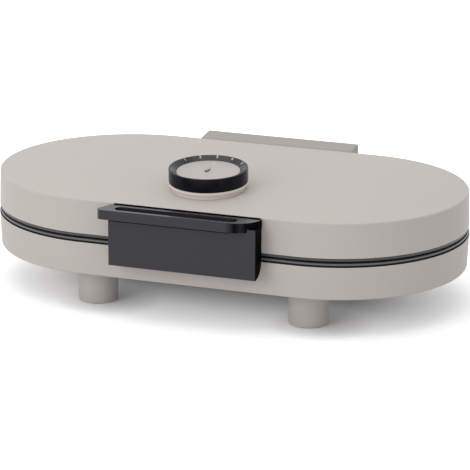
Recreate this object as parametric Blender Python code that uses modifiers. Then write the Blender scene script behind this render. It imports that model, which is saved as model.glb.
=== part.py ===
"""Double waffle maker: two round plates side by side in a long casing with round ends.

The object stands on its feet at z = 0, its long side runs along X and its handle faces -Y.
Lengths are in metres. All that is turned or swept is given by its radius and its height.
"""

import math

import bmesh
import bpy
from mathutils import Matrix, Vector

# Clearances
GAP = 0.0003
RUNNING_GAP = 0.0006
OVERRUN = 0.002

# Casing. Its lobes follow the plates' lips, and its heights follow what is stacked inside
PLATE_SPACE = 0.0088
CASING_MARGIN = 0.0249
BASE_LEAN = 0.0013
LID_INSET = 0.0003
LID_LEAN = 0.0008
FOOT_HEIGHT = 0.0344
LID_HEADROOM = 0.0113
LID_CROWN = 0.0069
SHELL_WALL = 0.0020
SHELL_EDGE_ROUND = 0.0010
CROWN_RING_SHARES = (0.3, 0.55, 0.78)

# Frames at the seam
SHADOW_GAP = 0.0013
BASE_BAND = 0.0019
LID_BAND = 0.0022
PARTING_GAP = 0.0020
BAND_INSET = 0.0007
FRAME_THICKNESS = 0.0043
FRAME_SKIRT_WALL = 0.0022
FRAME_SKIRT_DEPTH = 0.0050

# Cooking plates, as depths from the parting plane
PLATE_RADIUS = 0.0900
PLATE_LIP = 0.0030
LIP_THICKNESS = 0.0028
RIM_CLEARANCE = 0.0002
PLATE_LAND = 0.0040
LAND_DROP = 0.0022
CELL_DEPTH = 0.0050
CELL_PITCH = 0.0150
CELL_FOOT = 0.0108
CELL_TOP = 0.0078
CELL_MARGIN = 0.0012
CELL_ROOT = 0.0008
PLATE_FLOOR = 0.0030
PLATE_SKIRT = 0.0030
PLATE_SKIRT_WALL = 0.0050
HEART_COUNT = 5
HEART_WALL = 0.0028
HEART_LIP = 0.0016
HEART_LOBE_ANGLE = math.radians(16.0)

# Heating elements, fuse and heat shields
ELEMENT_RADIUS = 0.0032
ELEMENT_INSET = 0.0340
ELEMENT_TAIL = 0.0160
ELEMENT_OPENING = math.radians(22.0)
FUSE_RADIUS = 0.0025
FUSE_LENGTH = 0.0240
SHIELD_MARGIN = 0.0101
SHIELD_CLEARANCE = 0.0052
SHIELD_SHEET = 0.0008

# Feet
FOOT_OUTSET = 0.0008
FOOT_INSET = 0.0424
FOOT_RADIUS = 0.0180
FOOT_LEAN = 0.0007
FOOT_ROUND = 0.0008
FOOT_SPIGOT_RADIUS = 0.0050
FOOT_SPIGOT_RISE = 0.0028
PAD_MARGIN = 0.0043
PAD_THICKNESS = 0.0020
PAD_PROUD = 0.0004

# Bottom cover
HATCH_FOOT_GAP = 0.0045
HATCH_OVERLAP = 0.0090
COVER_THICKNESS = 0.0012
COVER_SCREW_INSET = 0.0274
SCREW_HEAD_RADIUS = 0.0032
SCREW_HEAD_TOP_RADIUS = 0.0025
SCREW_HEAD_HEIGHT = 0.0014
SCREW_SHANK_RADIUS = 0.0015
COVER_SCREW_LENGTH = 0.0040

# Hinge
BARREL_RADIUS = 0.0108
HINGE_HALF_WIDTH = 0.0744
LUG_WIDTH = 0.0142
LUG_INSET = 0.0003
HINGE_BLOCK_RISE = 0.0027
HINGE_BLOCK_ROUND = 0.0015
POCKET_COUNT = 4
POCKET_SIDE_WALL = 0.0160
POCKET_RIB = 0.0030
POCKET_WALL = 0.0045
BRACKET_FLOOR_RISE = 0.0040
STOP_CLEARANCE = 0.0018
PIN_RADIUS = 0.0030
PIN_END_INSET = 0.0010
BUSH_WALL = 0.0020
BUSH_LENGTH = 0.0120

# Handle: a grip over a hanging plate. The grip is slanted at its left end and round at its right end
HANDLE_LEFT = 0.0630
HANDLE_RIGHT = 0.0698
HANDLE_HEIGHT = 0.0503
HANDLE_PLATE_PROUD = 0.0160
HANDLE_BACK_ROUND = 0.0140
HANDLE_CORNER = 0.0008
GRIP_PROUD = 0.0216
GRIP_THICKNESS = 0.0085
GRIP_DROP = 0.0007
GRIP_OVERHANG = 0.0018
GRIP_FLARE = 0.0095
GRIP_LEFT_ROUND = 0.0050
GRIP_RIGHT_LENGTH = 0.0245
GRIP_RIGHT_STRAIGHT = 0.0011
SLOT_END_MARGIN_LEFT = 0.0149
SLOT_END_MARGIN_RIGHT = 0.0176
SLOT_WIDTH = 0.0115
SLOT_DEPTH = 0.0060
SLOT_FRONT_WALL = 0.0040
HANDLE_SCREW_X = 0.0400
HANDLE_SCREW_DROP = 0.0170
HANDLE_SCREW_LENGTH = 0.0100
HANDLE_BOSS_RADIUS = 0.0060

# Dial, as heights over the lid's skin along the dial's own axis
DIAL_INSET = 0.0570
COLLAR_INSET = 0.0005
COLLAR_HEIGHT = 0.0063
COLLAR_TAPER = 0.0032
COLLAR_WALL = 0.0024
COLLAR_FLOOR = 0.0025
GUIDE_WALL = 0.0016
GUIDE_HEIGHT = 0.0026
RING_HEIGHT = 0.0122
RING_WALL = 0.0042
RING_STEP = 0.0023
RING_EDGE_ROUND = 0.0009
RING_TOP_LAND = 0.0016
BEVEL_DROP = 0.0026
CAP_REACH = 0.0009
CAP_THICKNESS = 0.0014
POST_CLEARANCE = 0.0008
POST_WALL = 0.0014
CAP_EDGE_ROUND = 0.0004
LEAD_HOLE_RADIUS = 0.0018
SHELL_OPENING_MARGIN = 0.0026

# Gear pair under the cap: teeth inside the ring turn a pinion on the thermostat's spindle
GEAR_MODULE = 0.0018
RING_TEETH = 30
PINION_TEETH = 12
GEAR_HEIGHT = 0.0050
TOOTH_ADDENDUM = 0.0010
TOOTH_DEDENDUM = 0.0013
TOOTH_PLAY = 0.0006
TOOTH_FOOT_SHARE = 0.66
TOOTH_TOP_SHARE = 0.34
SPINDLE_RADIUS = 0.0030

# Window and lamp
LENS_LENGTH = 0.0060
LENS_WIDTH = 0.0024
LENS_PROUD = 0.0002
LENS_SEAT_DEPTH = 0.0016
LENS_TURN = math.radians(-8.0)
LAMP_CLEARANCE = 0.0004
LAMP_LENGTH = 0.0060

# Thermostat
THERMOSTAT_LENGTH = 0.0300
THERMOSTAT_WIDTH = 0.0260
THERMOSTAT_HEIGHT = 0.0090
THERMOSTAT_NECK_WALL = 0.0016

# Mains inlet and terminals
GLAND_HINGE_GAP = 0.0122
GLAND_RISE = 0.0146
GLAND_RADIUS = 0.0072
GLAND_PROUD = 0.0075
GLAND_NECK_RADIUS = 0.0050
GLAND_BORE = 0.0034
GLAND_INNER_LENGTH = 0.0040
BLOCK_SIDE_GAP = 0.0098
BLOCK_INSET = 0.0479
BLOCK_CLEARANCE = 0.0012
BLOCK_LENGTH = 0.0300
BLOCK_DEPTH = 0.0140
BLOCK_HEIGHT = 0.0070
TERMINAL_COUNT = 3
TERMINAL_RADIUS = 0.0030
TERMINAL_DEPTH = 0.0035

# Fineness
LOBE_STEPS = 18
ROUND_STEPS = 24
DIAL_STEPS = 40
SIMPLE_LOBE_STEPS = 12
SMALL_STEPS = 12
ARC_STEPS = 5
HEART_STEPS = 7
ELEMENT_STEPS = 20
FULL_TURN = 2 * math.pi
MERGE = 1e-6
SMOOTH_LIMIT = math.radians(35.0)
BEVEL_LIMIT = math.radians(50.0)
MITRE_LIMIT = math.radians(75.0)

# Radii and spacing of the lobes, from the plates outwards
half_spacing = PLATE_RADIUS + PLATE_LIP + PLATE_SPACE / 2
lobe_spacing = 2 * half_spacing
base_rim_radius = PLATE_RADIUS + PLATE_LIP + CASING_MARGIN
base_floor_radius = base_rim_radius - BASE_LEAN
lid_rim_radius = base_rim_radius - LID_INSET
lid_edge_radius = lid_rim_radius - LID_LEAN
lid_round_radius = lid_edge_radius - SHELL_EDGE_ROUND
crown_radii = [0.0] + [share * lid_round_radius for share in CROWN_RING_SHARES] + [lid_round_radius]

# Depths from the parting plane, the same for the upper and the lower plates
band_depth = PARTING_GAP / 2
land_depth = RIM_CLEARANCE + LAND_DROP
cell_floor_depth = land_depth + CELL_DEPTH
plate_ceiling_depth = cell_floor_depth + PLATE_FLOOR
plate_skirt_depth = plate_ceiling_depth + PLATE_SKIRT
frame_back_depth = band_depth + FRAME_THICKNESS
frame_skirt_end_depth = frame_back_depth + FRAME_SKIRT_DEPTH
element_end_depth = plate_ceiling_depth + GAP + 2 * ELEMENT_RADIUS
shield_back_depth = element_end_depth + SHIELD_CLEARANCE
shield_end_depth = shield_back_depth + SHIELD_SHEET

# Levels, from the feet upwards
base_floor_z = FOOT_HEIGHT
block_low_z = base_floor_z + SHELL_WALL + GAP
seam_z = block_low_z + BLOCK_HEIGHT + BLOCK_CLEARANCE + shield_end_depth
base_rim_z = seam_z - band_depth - BASE_BAND - SHADOW_GAP
lid_rim_z = seam_z + band_depth + LID_BAND + GAP
lid_edge_z = seam_z + shield_end_depth + LID_HEADROOM
base_height = base_rim_z - base_floor_z
lid_height = lid_edge_z - lid_rim_z

# Feet and bottom cover
foot_x = half_spacing + FOOT_OUTSET
foot_y = base_rim_radius - FOOT_INSET
foot_bottom_radius = FOOT_RADIUS - FOOT_LEAN
pad_radius = foot_bottom_radius - PAD_MARGIN
cover_radius = foot_y - FOOT_RADIUS - HATCH_FOOT_GAP
hatch_radius = cover_radius - HATCH_OVERLAP

# Hinge, handle and inlet
hinge_y = base_rim_radius + GAP + BARREL_RADIUS
hinge_back_y = hinge_y + BARREL_RADIUS
shoulder_z = seam_z + BARREL_RADIUS + RUNNING_GAP
bridge_top_z = seam_z - BARREL_RADIUS - STOP_CLEARANCE
hinge_top_z = lid_edge_z + HINGE_BLOCK_RISE
barrel_half_length = HINGE_HALF_WIDTH - LUG_WIDTH - GAP
handle_back_y = -(base_rim_radius + GAP)
grip_top_z = lid_edge_z - GRIP_DROP
grip_low_z = grip_top_z - GRIP_THICKNESS
grip_front_y = handle_back_y - GRIP_PROUD
grip_right_depth = GRIP_PROUD - GRIP_RIGHT_STRAIGHT
grip_left = -HANDLE_LEFT - GRIP_OVERHANG - GRIP_FLARE
handle_low_z = grip_top_z - HANDLE_HEIGHT
gland_x = HINGE_HALF_WIDTH + GLAND_HINGE_GAP + GLAND_RADIUS
gland_z = base_floor_z + GLAND_RISE
block_x = gland_x - GLAND_RADIUS - BLOCK_SIDE_GAP - BLOCK_LENGTH / 2
block_y = base_rim_radius - BLOCK_INSET

# Dial: its axis is square to the lid's skin where it stands, and its radii follow the gears
dial_y = DIAL_INSET - lid_edge_radius
dial_share = dial_y / lid_edge_radius
dial_tilt = math.atan(2 * LID_CROWN * abs(dial_share) / lid_edge_radius)
dial_z = lid_edge_z + LID_CROWN * (1 - dial_share**2)
ring_pitch_radius = GEAR_MODULE * RING_TEETH / 2
pinion_pitch_radius = GEAR_MODULE * PINION_TEETH / 2
spindle_offset = ring_pitch_radius - pinion_pitch_radius
cap_radius = ring_pitch_radius + CAP_REACH
bore_radius = cap_radius + GAP
ring_inner = bore_radius + RING_STEP
dial_radius = ring_inner + RING_WALL
guide_outer = ring_inner - GAP
post_radius = spindle_offset - pinion_pitch_radius - TOOTH_ADDENDUM - POST_CLEARANCE
post_bore = post_radius - POST_WALL
neck_bore = SPINDLE_RADIUS + RUNNING_GAP
neck_radius = neck_bore + THERMOSTAT_NECK_WALL
shell_opening_radius = spindle_offset + neck_radius + SHELL_OPENING_MARGIN
ring_low = COLLAR_HEIGHT + GAP
ring_top = ring_low + RING_HEIGHT
cap_top = ring_top - BEVEL_DROP
cap_low = cap_top - CAP_THICKNESS
gear_top = cap_low - RUNNING_GAP
gear_low = gear_top - GEAR_HEIGHT
thermostat_top = -SHELL_WALL - 2 * GAP
tooth_play_share = TOOTH_PLAY / (GEAR_MODULE * math.pi)


def material(name, colour, roughness, metallic=0.0):
    """One surface, as a Principled BSDF."""
    made = bpy.data.materials.new(name)
    made.use_nodes = True
    shader = made.node_tree.nodes["Principled BSDF"]
    shader.inputs["Base Color"].default_value = (*colour, 1.0)
    shader.inputs["Roughness"].default_value = roughness
    shader.inputs["Metallic"].default_value = metallic
    return made


def new_collection(name):
    made = bpy.data.collections.new(name)
    bpy.context.scene.collection.children.link(made)
    return made


def placed(name, mesh, surface, group):
    """A mesh becomes an object in the parts' collection or, as a helper, in the cutters'."""
    made = bpy.data.objects.new(name, mesh)
    (group or parts).objects.link(made)
    if surface:
        mesh.materials.append(surface)
    if group is cutters:
        made.hide_render = True
        made.display_type = "WIRE"
    return made


def object_from(name, bm, surface, group=None):
    """A closed bmesh becomes an object, with its doubles merged and its faces turned outwards."""
    bmesh.ops.remove_doubles(bm, verts=bm.verts, dist=MERGE)
    bmesh.ops.recalc_face_normals(bm, faces=bm.faces)
    mesh = bpy.data.meshes.new(name)
    bm.to_mesh(mesh)
    bm.free()
    mesh.shade_smooth()
    mesh.set_sharp_from_angle(angle=SMOOTH_LIMIT)
    return placed(name, mesh, surface, group)


def chain(bm, points, closed):
    """The vertices and edges of a profile."""
    verts = [bm.verts.new(point) for point in points]
    edges = [bm.edges.new(pair) for pair in zip(verts, verts[1:])]
    if closed:
        edges.append(bm.edges.new((verts[-1], verts[0])))
    return verts + edges


def only(kind, geometry):
    return [item for item in geometry if isinstance(item, kind)]


def swept_lobes(name, profile, surface=None, group=None, closed=False, steps=LOBE_STEPS):
    """A profile of (radius, height) swept round both lobes and along the straight sides."""
    bm = bmesh.new()
    start = [(half_spacing, -radius, height) for radius, height in profile]
    moving = chain(bm, start, closed)
    for side in (1, -1):
        spun = bmesh.ops.spin(
            bm,
            geom=moving,
            cent=(side * half_spacing, 0, 0),
            axis=(0, 0, 1),
            angle=math.pi,
            steps=steps,
        )
        drawn = bmesh.ops.extrude_edge_only(bm, edges=only(bmesh.types.BMEdge, spun["geom_last"]))
        moving = drawn["geom"]
        bmesh.ops.translate(
            bm,
            verts=only(bmesh.types.BMVert, moving),
            vec=(-side * lobe_spacing, 0, 0),
        )
        moving = only(bmesh.types.BMVert, moving) + only(bmesh.types.BMEdge, moving)
    return object_from(name, bm, surface, group)


def turned(name, profile, surface=None, group=None, closed=False, steps=ROUND_STEPS, turn=None):
    """A profile of (radius, height) at +X, turned about Z by a Screw modifier."""
    ring = profile + profile[:1]
    area = sum(r0 * z1 - r1 * z0 for (r0, z0), (r1, z1) in zip(ring, ring[1:]))
    run = profile[::-1] if area > 0 else profile
    edges = [(index, index + 1) for index in range(len(run) - 1)]
    if closed:
        edges.append((len(run) - 1, 0))
    mesh = bpy.data.meshes.new(name)
    mesh.from_pydata([(radius, 0, height) for radius, height in run], edges, [])
    made = placed(name, mesh, surface, group)
    step = made.modifiers.new("turning", "SCREW")
    step.steps = steps
    step.render_steps = steps
    step.use_merge_vertices = True
    step.merge_threshold = MERGE
    if turn:
        made.matrix_world = turn
    return made


def prism(name, outline, low, high, surface=None, group=None, turn=None):
    """A flat outline of (x, y) drawn up from one height to another, from a filled 2D curve."""
    curve = bpy.data.curves.new(name, "CURVE")
    curve.dimensions = "2D"
    curve.fill_mode = "BOTH"
    curve.extrude = (high - low) / 2
    spline = curve.splines.new("POLY")
    spline.points.add(len(outline) - 1)
    for point, (x, y) in zip(spline.points, outline):
        point.co = (x, y, 0, 1)
    spline.use_cyclic_u = True
    drawn = bpy.data.objects.new(name, curve)
    bpy.context.scene.collection.objects.link(drawn)
    bm = mesh_of(drawn)
    bmesh.ops.translate(bm, verts=bm.verts, vec=(0, 0, (low + high) / 2))
    if turn:
        bmesh.ops.transform(bm, matrix=turn, verts=bm.verts)
    return object_from(name, bm, surface, group)


def mesh_of(drawn):
    """The evaluated mesh of a curve object, as a bmesh. The curve goes."""
    bpy.context.view_layer.update()
    graph = bpy.context.evaluated_depsgraph_get()
    mesh = bpy.data.meshes.new_from_object(drawn.evaluated_get(graph))
    bm = bmesh.new()
    bm.from_mesh(mesh)
    curve = drawn.data
    bpy.data.objects.remove(drawn)
    bpy.data.curves.remove(curve)
    bpy.data.meshes.remove(mesh)
    bmesh.ops.remove_doubles(bm, verts=bm.verts, dist=MERGE)
    return bm


def tube(name, points, radius, surface):
    """A round bar along open points."""
    curve = bpy.data.curves.new(name, "CURVE")
    curve.dimensions = "3D"
    curve.bevel_depth = radius
    curve.bevel_resolution = 1
    curve.use_fill_caps = True
    spline = curve.splines.new("POLY")
    spline.points.add(len(points) - 1)
    for point, place in zip(spline.points, points):
        point.co = (*place, 1)
    drawn = bpy.data.objects.new(name, curve)
    bpy.context.scene.collection.objects.link(drawn)
    return object_from(name, mesh_of(drawn), surface)


def block(name, low, high, surface=None, group=None):
    """A box between two corners."""
    bm = bmesh.new()
    size = Vector(high) - Vector(low)
    middle = (Vector(high) + Vector(low)) / 2
    place = Matrix.Translation(middle) @ Matrix.Diagonal((*size, 1))
    bmesh.ops.create_cube(bm, size=1, matrix=place)
    return object_from(name, bm, surface, group)


def cylinder(name, start, end, radius, surface=None, group=None, steps=SMALL_STEPS):
    """A plain round bar between two points."""
    bm = bmesh.new()
    along = Vector(end) - Vector(start)
    turn = along.to_track_quat("Z", "Y").to_matrix().to_4x4()
    middle = (Vector(start) + Vector(end)) / 2
    bmesh.ops.create_cone(
        bm,
        cap_ends=True,
        segments=steps,
        radius1=radius,
        radius2=radius,
        depth=along.length,
        matrix=Matrix.Translation(middle) @ turn,
    )
    return object_from(name, bm, surface, group)


def boolean(target, other, operation):
    """Adds a Boolean. What it reads is a helper from then on."""
    step = target.modifiers.new(operation.lower(), "BOOLEAN")
    step.operation = operation
    step.object = other
    step.solver = "EXACT"
    other.hide_render = True
    other.display_type = "WIRE"
    if other.name in parts.objects:
        parts.objects.unlink(other)
        cutters.objects.link(other)
    return target


def cut(target, *others):
    for other in others:
        boolean(target, other, "DIFFERENCE")
    return target


def join(target, *others):
    for other in others:
        boolean(target, other, "UNION")
    return target


def round_edges(target, width, segments=1):
    """A bevel on every edge sharper than the limit."""
    step = target.modifiers.new("rounding", "BEVEL")
    step.width = width
    step.segments = segments
    step.limit_method = "ANGLE"
    step.angle_limit = BEVEL_LIMIT
    return target


def hang(child, parent):
    """Parents an object whose mesh is already in the parent's own frame."""
    child.parent = parent
    return child


def axis_at(name, place, parent=None, tilt=0.0):
    """An empty on a joint's axis."""
    made = bpy.data.objects.new(name, None)
    parts.objects.link(made)
    made.parent = parent
    made.location = place
    made.rotation_euler = (tilt, 0, 0)
    return made


def arc(centre, radius, first, last, steps=ARC_STEPS):
    """Points on an arc, both ends included."""
    x, y = centre
    turns = [first + (last - first) * step / steps for step in range(steps + 1)]
    return [(x + radius * math.cos(turn), y + radius * math.sin(turn)) for turn in turns]


def fillet(before, corner, after, radius, steps=ARC_STEPS):
    """The arc that rounds one corner of an outline."""
    corner = Vector(corner)
    back = (Vector(before) - corner).normalized()
    ahead = (Vector(after) - corner).normalized()
    half = back.angle(ahead) / 2
    centre = corner + (back + ahead).normalized() * (radius / math.sin(half))
    start = corner + back * (radius / math.tan(half)) - centre
    end = corner + ahead * (radius / math.tan(half)) - centre
    sweep = start.angle_signed(end) * -1
    points = []
    for step in range(steps + 1):
        turn = Matrix.Rotation(sweep * step / steps, 2)
        points.append(tuple(centre + turn @ start))
    return points


def lid_skin_height(radius, lift=0.0):
    """The crown of the lid, over the line between the lobes' centres."""
    return lid_edge_z + lift + LID_CROWN * (1 - (radius / lid_edge_radius) ** 2)


def lid_wall(height):
    """The lid's outer radius at a height of its leaning wall."""
    share = (height - lid_rim_z) / lid_height
    return lid_rim_radius + (lid_edge_radius - lid_rim_radius) * share


def base_wall(height):
    """The base's outer radius at a height of its leaning wall."""
    share = (height - base_floor_z) / base_height
    return base_floor_radius + (base_rim_radius - base_floor_radius) * share


def lid_shell():
    inner_edge = lid_edge_radius - SHELL_WALL
    outside = [(radius, lid_skin_height(radius)) for radius in crown_radii]
    outside += [(lid_edge_radius, lid_edge_z - SHELL_EDGE_ROUND), (lid_rim_radius, lid_rim_z)]
    inner_radii = crown_radii[:-1] + [inner_edge]
    inside = [(radius, lid_skin_height(radius, -SHELL_WALL)) for radius in inner_radii]
    rim = [(lid_rim_radius - SHELL_WALL, lid_rim_z)]
    shell = swept_lobes("lid_shell", outside + rim + inside[::-1], BODY)
    opening = turned(
        "dial_opening_cutter",
        [
            (0, SHELL_WALL + OVERRUN),
            (shell_opening_radius, SHELL_WALL + OVERRUN),
            (shell_opening_radius, -SHELL_WALL - OVERRUN),
            (0, -SHELL_WALL - OVERRUN),
        ],
        group=cutters,
    )
    opening.matrix_world = dial_place
    cut(shell, opening)
    for x in handle_screw_places:
        hole = cylinder(
            f"lid_wall_cutter_{x > 0}",
            (x, handle_back_y - OVERRUN, handle_screw_z),
            (x, handle_screw_seat_y + OVERRUN, handle_screw_z),
            SCREW_SHANK_RADIUS + GAP,
            group=cutters,
        )
        cut(shell, hole)
    return shell


def base_shell():
    floor_round = base_floor_radius - SHELL_EDGE_ROUND
    profile = [
        (hatch_radius, base_floor_z),
        (floor_round, base_floor_z),
        (base_floor_radius, base_floor_z + SHELL_EDGE_ROUND),
        (base_rim_radius, base_rim_z),
        (base_rim_radius - SHELL_WALL, base_rim_z),
        (base_floor_radius - SHELL_WALL, base_floor_z + SHELL_WALL),
        (hatch_radius, base_floor_z + SHELL_WALL),
    ]
    shell = swept_lobes("base_shell", profile, BODY, closed=True)
    for name, x, y in foot_places:
        cut(
            shell,
            cylinder(
                f"{name}_hole_cutter",
                (x, y, base_floor_z - OVERRUN),
                (x, y, base_floor_z + SHELL_WALL + OVERRUN),
                FOOT_SPIGOT_RADIUS + GAP,
                group=cutters,
            ),
        )
    for name, x, y in cover_screw_places:
        cut(
            shell,
            cylinder(
                f"{name}_shell_cutter",
                (x, y, base_floor_z - OVERRUN),
                (x, y, base_floor_z + SHELL_WALL + OVERRUN),
                SCREW_SHANK_RADIUS + GAP,
                group=cutters,
            ),
        )
    inlet = cylinder(
        "inlet_cutter",
        (gland_x, base_rim_radius + OVERRUN, gland_z),
        (gland_x, base_floor_radius - SHELL_WALL - OVERRUN, gland_z),
        GLAND_NECK_RADIUS + GAP,
        group=cutters,
    )
    return cut(shell, inlet)


def plate_frame(name, side, rim_radius, band, skirt_wall, surface):
    """The frame that closes a casing at the seam and carries its plates. Its skirt is inside the wall."""
    band_radius = rim_radius - BAND_INSET
    skirt_outer = skirt_wall - SHELL_WALL - GAP
    depths = [
        (0, band_depth),
        (band_radius, band_depth),
        (band_radius, band_depth + band),
        (skirt_outer, band_depth + band),
        (skirt_outer, frame_skirt_end_depth),
        (skirt_outer - FRAME_SKIRT_WALL, frame_skirt_end_depth),
        (skirt_outer - FRAME_SKIRT_WALL, frame_back_depth),
        (0, frame_back_depth),
    ]
    frame = swept_lobes(name, [(radius, seam_z + side * depth) for radius, depth in depths], surface)
    seat_depth = RIM_CLEARANCE + LIP_THICKNESS + GAP
    seat_radius = PLATE_RADIUS + PLATE_LIP + GAP
    for hand in (1, -1):
        seat = cylinder(
            f"{name}_seat_cutter_{hand > 0}",
            (hand * half_spacing, 0, seam_z + side * (band_depth - OVERRUN)),
            (hand * half_spacing, 0, seam_z + side * seat_depth),
            seat_radius,
            group=cutters,
            steps=ROUND_STEPS,
        )
        hole = cylinder(
            f"{name}_hole_cutter_{hand > 0}",
            (hand * half_spacing, 0, seam_z + side * (band_depth - OVERRUN)),
            (hand * half_spacing, 0, seam_z + side * (frame_back_depth + OVERRUN)),
            PLATE_RADIUS + GAP,
            group=cutters,
            steps=ROUND_STEPS,
        )
        cut(frame, seat, hole)
    return frame


def heart_outline(reach, lobe_angle, side_angle):
    """Half a heart's lobe mirrored: its tip at the origin and its two lobes towards +X."""
    lean = math.sin(side_angle - lobe_angle)
    centre_distance = reach / (1 + lean)
    lobe_radius = centre_distance * lean
    cx = centre_distance * math.cos(lobe_angle)
    cy = centre_distance * math.sin(lobe_angle)
    notch = math.asin(min(1.0, cy / lobe_radius))
    upper = arc((cx, cy), lobe_radius, -notch, side_angle + math.pi / 2, HEART_STEPS)
    lower = [(x, -y) for x, y in upper[::-1]]
    return upper + [(0.0, 0.0)] + lower[:-1]


def inset(outline, distance):
    """The outline moved inwards along its corners' bisectors, outwards for a negative distance."""
    count = len(outline)
    moved = []
    for index, point in enumerate(outline):
        here = Vector(point)
        back = (here - Vector(outline[index - 1])).normalized()
        ahead = (Vector(outline[(index + 1) % count]) - here).normalized()
        normal = Vector((-back.y - ahead.y, back.x + ahead.x)).normalized()
        spread = max(normal.dot(Vector((-back.y, back.x))), math.cos(MITRE_LIMIT))
        moved.append(tuple(here + normal * (distance / spread)))
    return moved


def inside(outline, point):
    """Whether a point lies in the outline."""
    x, y = point
    crossings = 0
    for (x0, y0), (x1, y1) in zip(outline, outline[1:] + outline[:1]):
        if (y0 > y) != (y1 > y) and x < x0 + (y - y0) * (x1 - x0) / (y1 - y0):
            crossings += 1
    return crossings % 2 == 1


def heart_cells(outline):
    """Centres of the raised cells of one heart, on a diagonal grid along its axis."""
    room = inset(outline, CELL_MARGIN)
    steps = range(-math.ceil(PLATE_RADIUS / CELL_PITCH), math.ceil(PLATE_RADIUS / CELL_PITCH) + 1)
    diagonal = CELL_PITCH / math.sqrt(2)
    reach = CELL_FOOT / math.sqrt(2)
    corners = ((reach, 0), (-reach, 0), (0, reach), (0, -reach))
    centres = []
    for i in steps:
        for j in steps:
            x, y = (i + j) * diagonal, (i - j) * diagonal
            if all(inside(room, (x + dx, y + dy)) for dx, dy in corners):
                centres.append((x, y))
    return centres


def waffle_plate_mesh():
    """The lower left plate with its parting plane at z = 0: hearts cut in, cells added."""
    inner = PLATE_RADIUS - PLATE_SKIRT_WALL
    well = PLATE_RADIUS - PLATE_LAND
    plate = turned(
        "waffle_plate_lower_left",
        [
            (0, -land_depth),
            (well, -land_depth),
            (well, -RIM_CLEARANCE),
            (PLATE_RADIUS + PLATE_LIP, -RIM_CLEARANCE),
            (PLATE_RADIUS + PLATE_LIP, -RIM_CLEARANCE - LIP_THICKNESS),
            (PLATE_RADIUS, -RIM_CLEARANCE - LIP_THICKNESS),
            (PLATE_RADIUS, -plate_skirt_depth),
            (inner, -plate_skirt_depth),
            (inner, -plate_ceiling_depth),
            (0, -plate_ceiling_depth),
        ],
        CAST,
        steps=ROUND_STEPS,
    )
    side_angle = math.pi / HEART_COUNT
    full = heart_outline(well - HEART_LIP, HEART_LOBE_ANGLE, side_angle)
    heart = inset(full, HEART_WALL / 2)
    foot_half = CELL_FOOT / math.sqrt(2)
    top_half = CELL_TOP / math.sqrt(2)
    hearts = bmesh.new()
    cells = bmesh.new()
    for index in range(HEART_COUNT):
        turn = Matrix.Rotation(FULL_TURN * index / HEART_COUNT, 4, "Z")
        pit = prism("heart", heart, -cell_floor_depth, -land_depth + OVERRUN, group=cutters, turn=turn)
        hearts.from_mesh(pit.data)
        bpy.data.objects.remove(pit)
        for x, y in heart_cells(heart):
            place = Matrix.Translation((x, y, -(cell_floor_depth + land_depth + CELL_ROOT) / 2))
            bmesh.ops.create_cone(
                cells,
                cap_ends=True,
                segments=4,
                radius1=foot_half,
                radius2=top_half,
                depth=CELL_DEPTH + CELL_ROOT,
                matrix=turn @ place,
            )
    cut(plate, object_from("hearts_cutter", hearts, None, cutters))
    join(plate, object_from("cells_adder", cells, None, cutters))
    return plate


def waffle_plates():
    first = waffle_plate_mesh()
    bpy.context.view_layer.update()
    graph = bpy.context.evaluated_depsgraph_get()
    shape = bpy.data.meshes.new_from_object(first.evaluated_get(graph))
    shape.name = "waffle_plate"
    bpy.data.objects.remove(first)
    for name in ("hearts_cutter", "cells_adder"):
        bpy.data.objects.remove(bpy.data.objects[name])
    made = {}
    for level, flip in (("lower", 0.0), ("upper", math.pi)):
        for hand, side in (("left", -1), ("right", 1)):
            plate = bpy.data.objects.new(f"waffle_plate_{level}_{hand}", shape)
            parts.objects.link(plate)
            plate.location = (side * half_spacing, 0, seam_z)
            plate.rotation_euler = (flip, 0, 0)
            made[level, hand] = plate
    return made


def heating_element(name, side, hand):
    """An open loop with two tails that turn in towards the plate's middle."""
    depth = plate_ceiling_depth + GAP + ELEMENT_RADIUS
    first = ELEMENT_OPENING
    last = FULL_TURN - ELEMENT_OPENING
    radius = PLATE_RADIUS - ELEMENT_INSET
    loop = arc((0, 0), radius, first, last, ELEMENT_STEPS)
    inner = radius - ELEMENT_TAIL
    start = (inner * math.cos(first), inner * math.sin(first))
    end = (inner * math.cos(last), inner * math.sin(last))
    route = [start] + loop + [end]
    return tube(
        name,
        [(hand * (half_spacing - x), y, seam_z + side * depth) for x, y in route],
        ELEMENT_RADIUS,
        STEEL,
    )


def heat_shield(name, side):
    """A sheet tray whose wall stands on the plate frame."""
    rim = frame_back_depth + GAP
    radius = lid_rim_radius - SHELL_WALL - GAP - FRAME_SKIRT_WALL - SHIELD_MARGIN
    profile = [
        (0, shield_end_depth),
        (radius, shield_end_depth),
        (radius, rim),
        (radius - SHIELD_SHEET, rim),
        (radius - SHIELD_SHEET, shield_back_depth),
        (0, shield_back_depth),
    ]
    points = [(reach, seam_z + side * depth) for reach, depth in profile]
    return swept_lobes(name, points, SHEET, steps=SIMPLE_LOBE_STEPS)


def foot(name, x, y):
    top = base_floor_z - GAP
    low = PAD_PROUD
    seat = PAD_THICKNESS + GAP
    profile = [
        (0, top + GAP + FOOT_SPIGOT_RISE),
        (FOOT_SPIGOT_RADIUS, top + GAP + FOOT_SPIGOT_RISE),
        (FOOT_SPIGOT_RADIUS, top),
        (FOOT_RADIUS, top),
        (foot_bottom_radius, low + FOOT_ROUND),
        (foot_bottom_radius - FOOT_ROUND, low),
        (pad_radius + GAP, low),
        (pad_radius + GAP, seat),
        (0, seat),
    ]
    made = turned(name, profile, BODY)
    made.location = (x, y, 0)
    pad = cylinder(
        name.replace("foot", "foot_pad"),
        (0, 0, 0),
        (0, 0, PAD_THICKNESS),
        pad_radius,
        RUBBER,
        steps=ROUND_STEPS,
    )
    pad.location = (x, y, 0)


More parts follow.
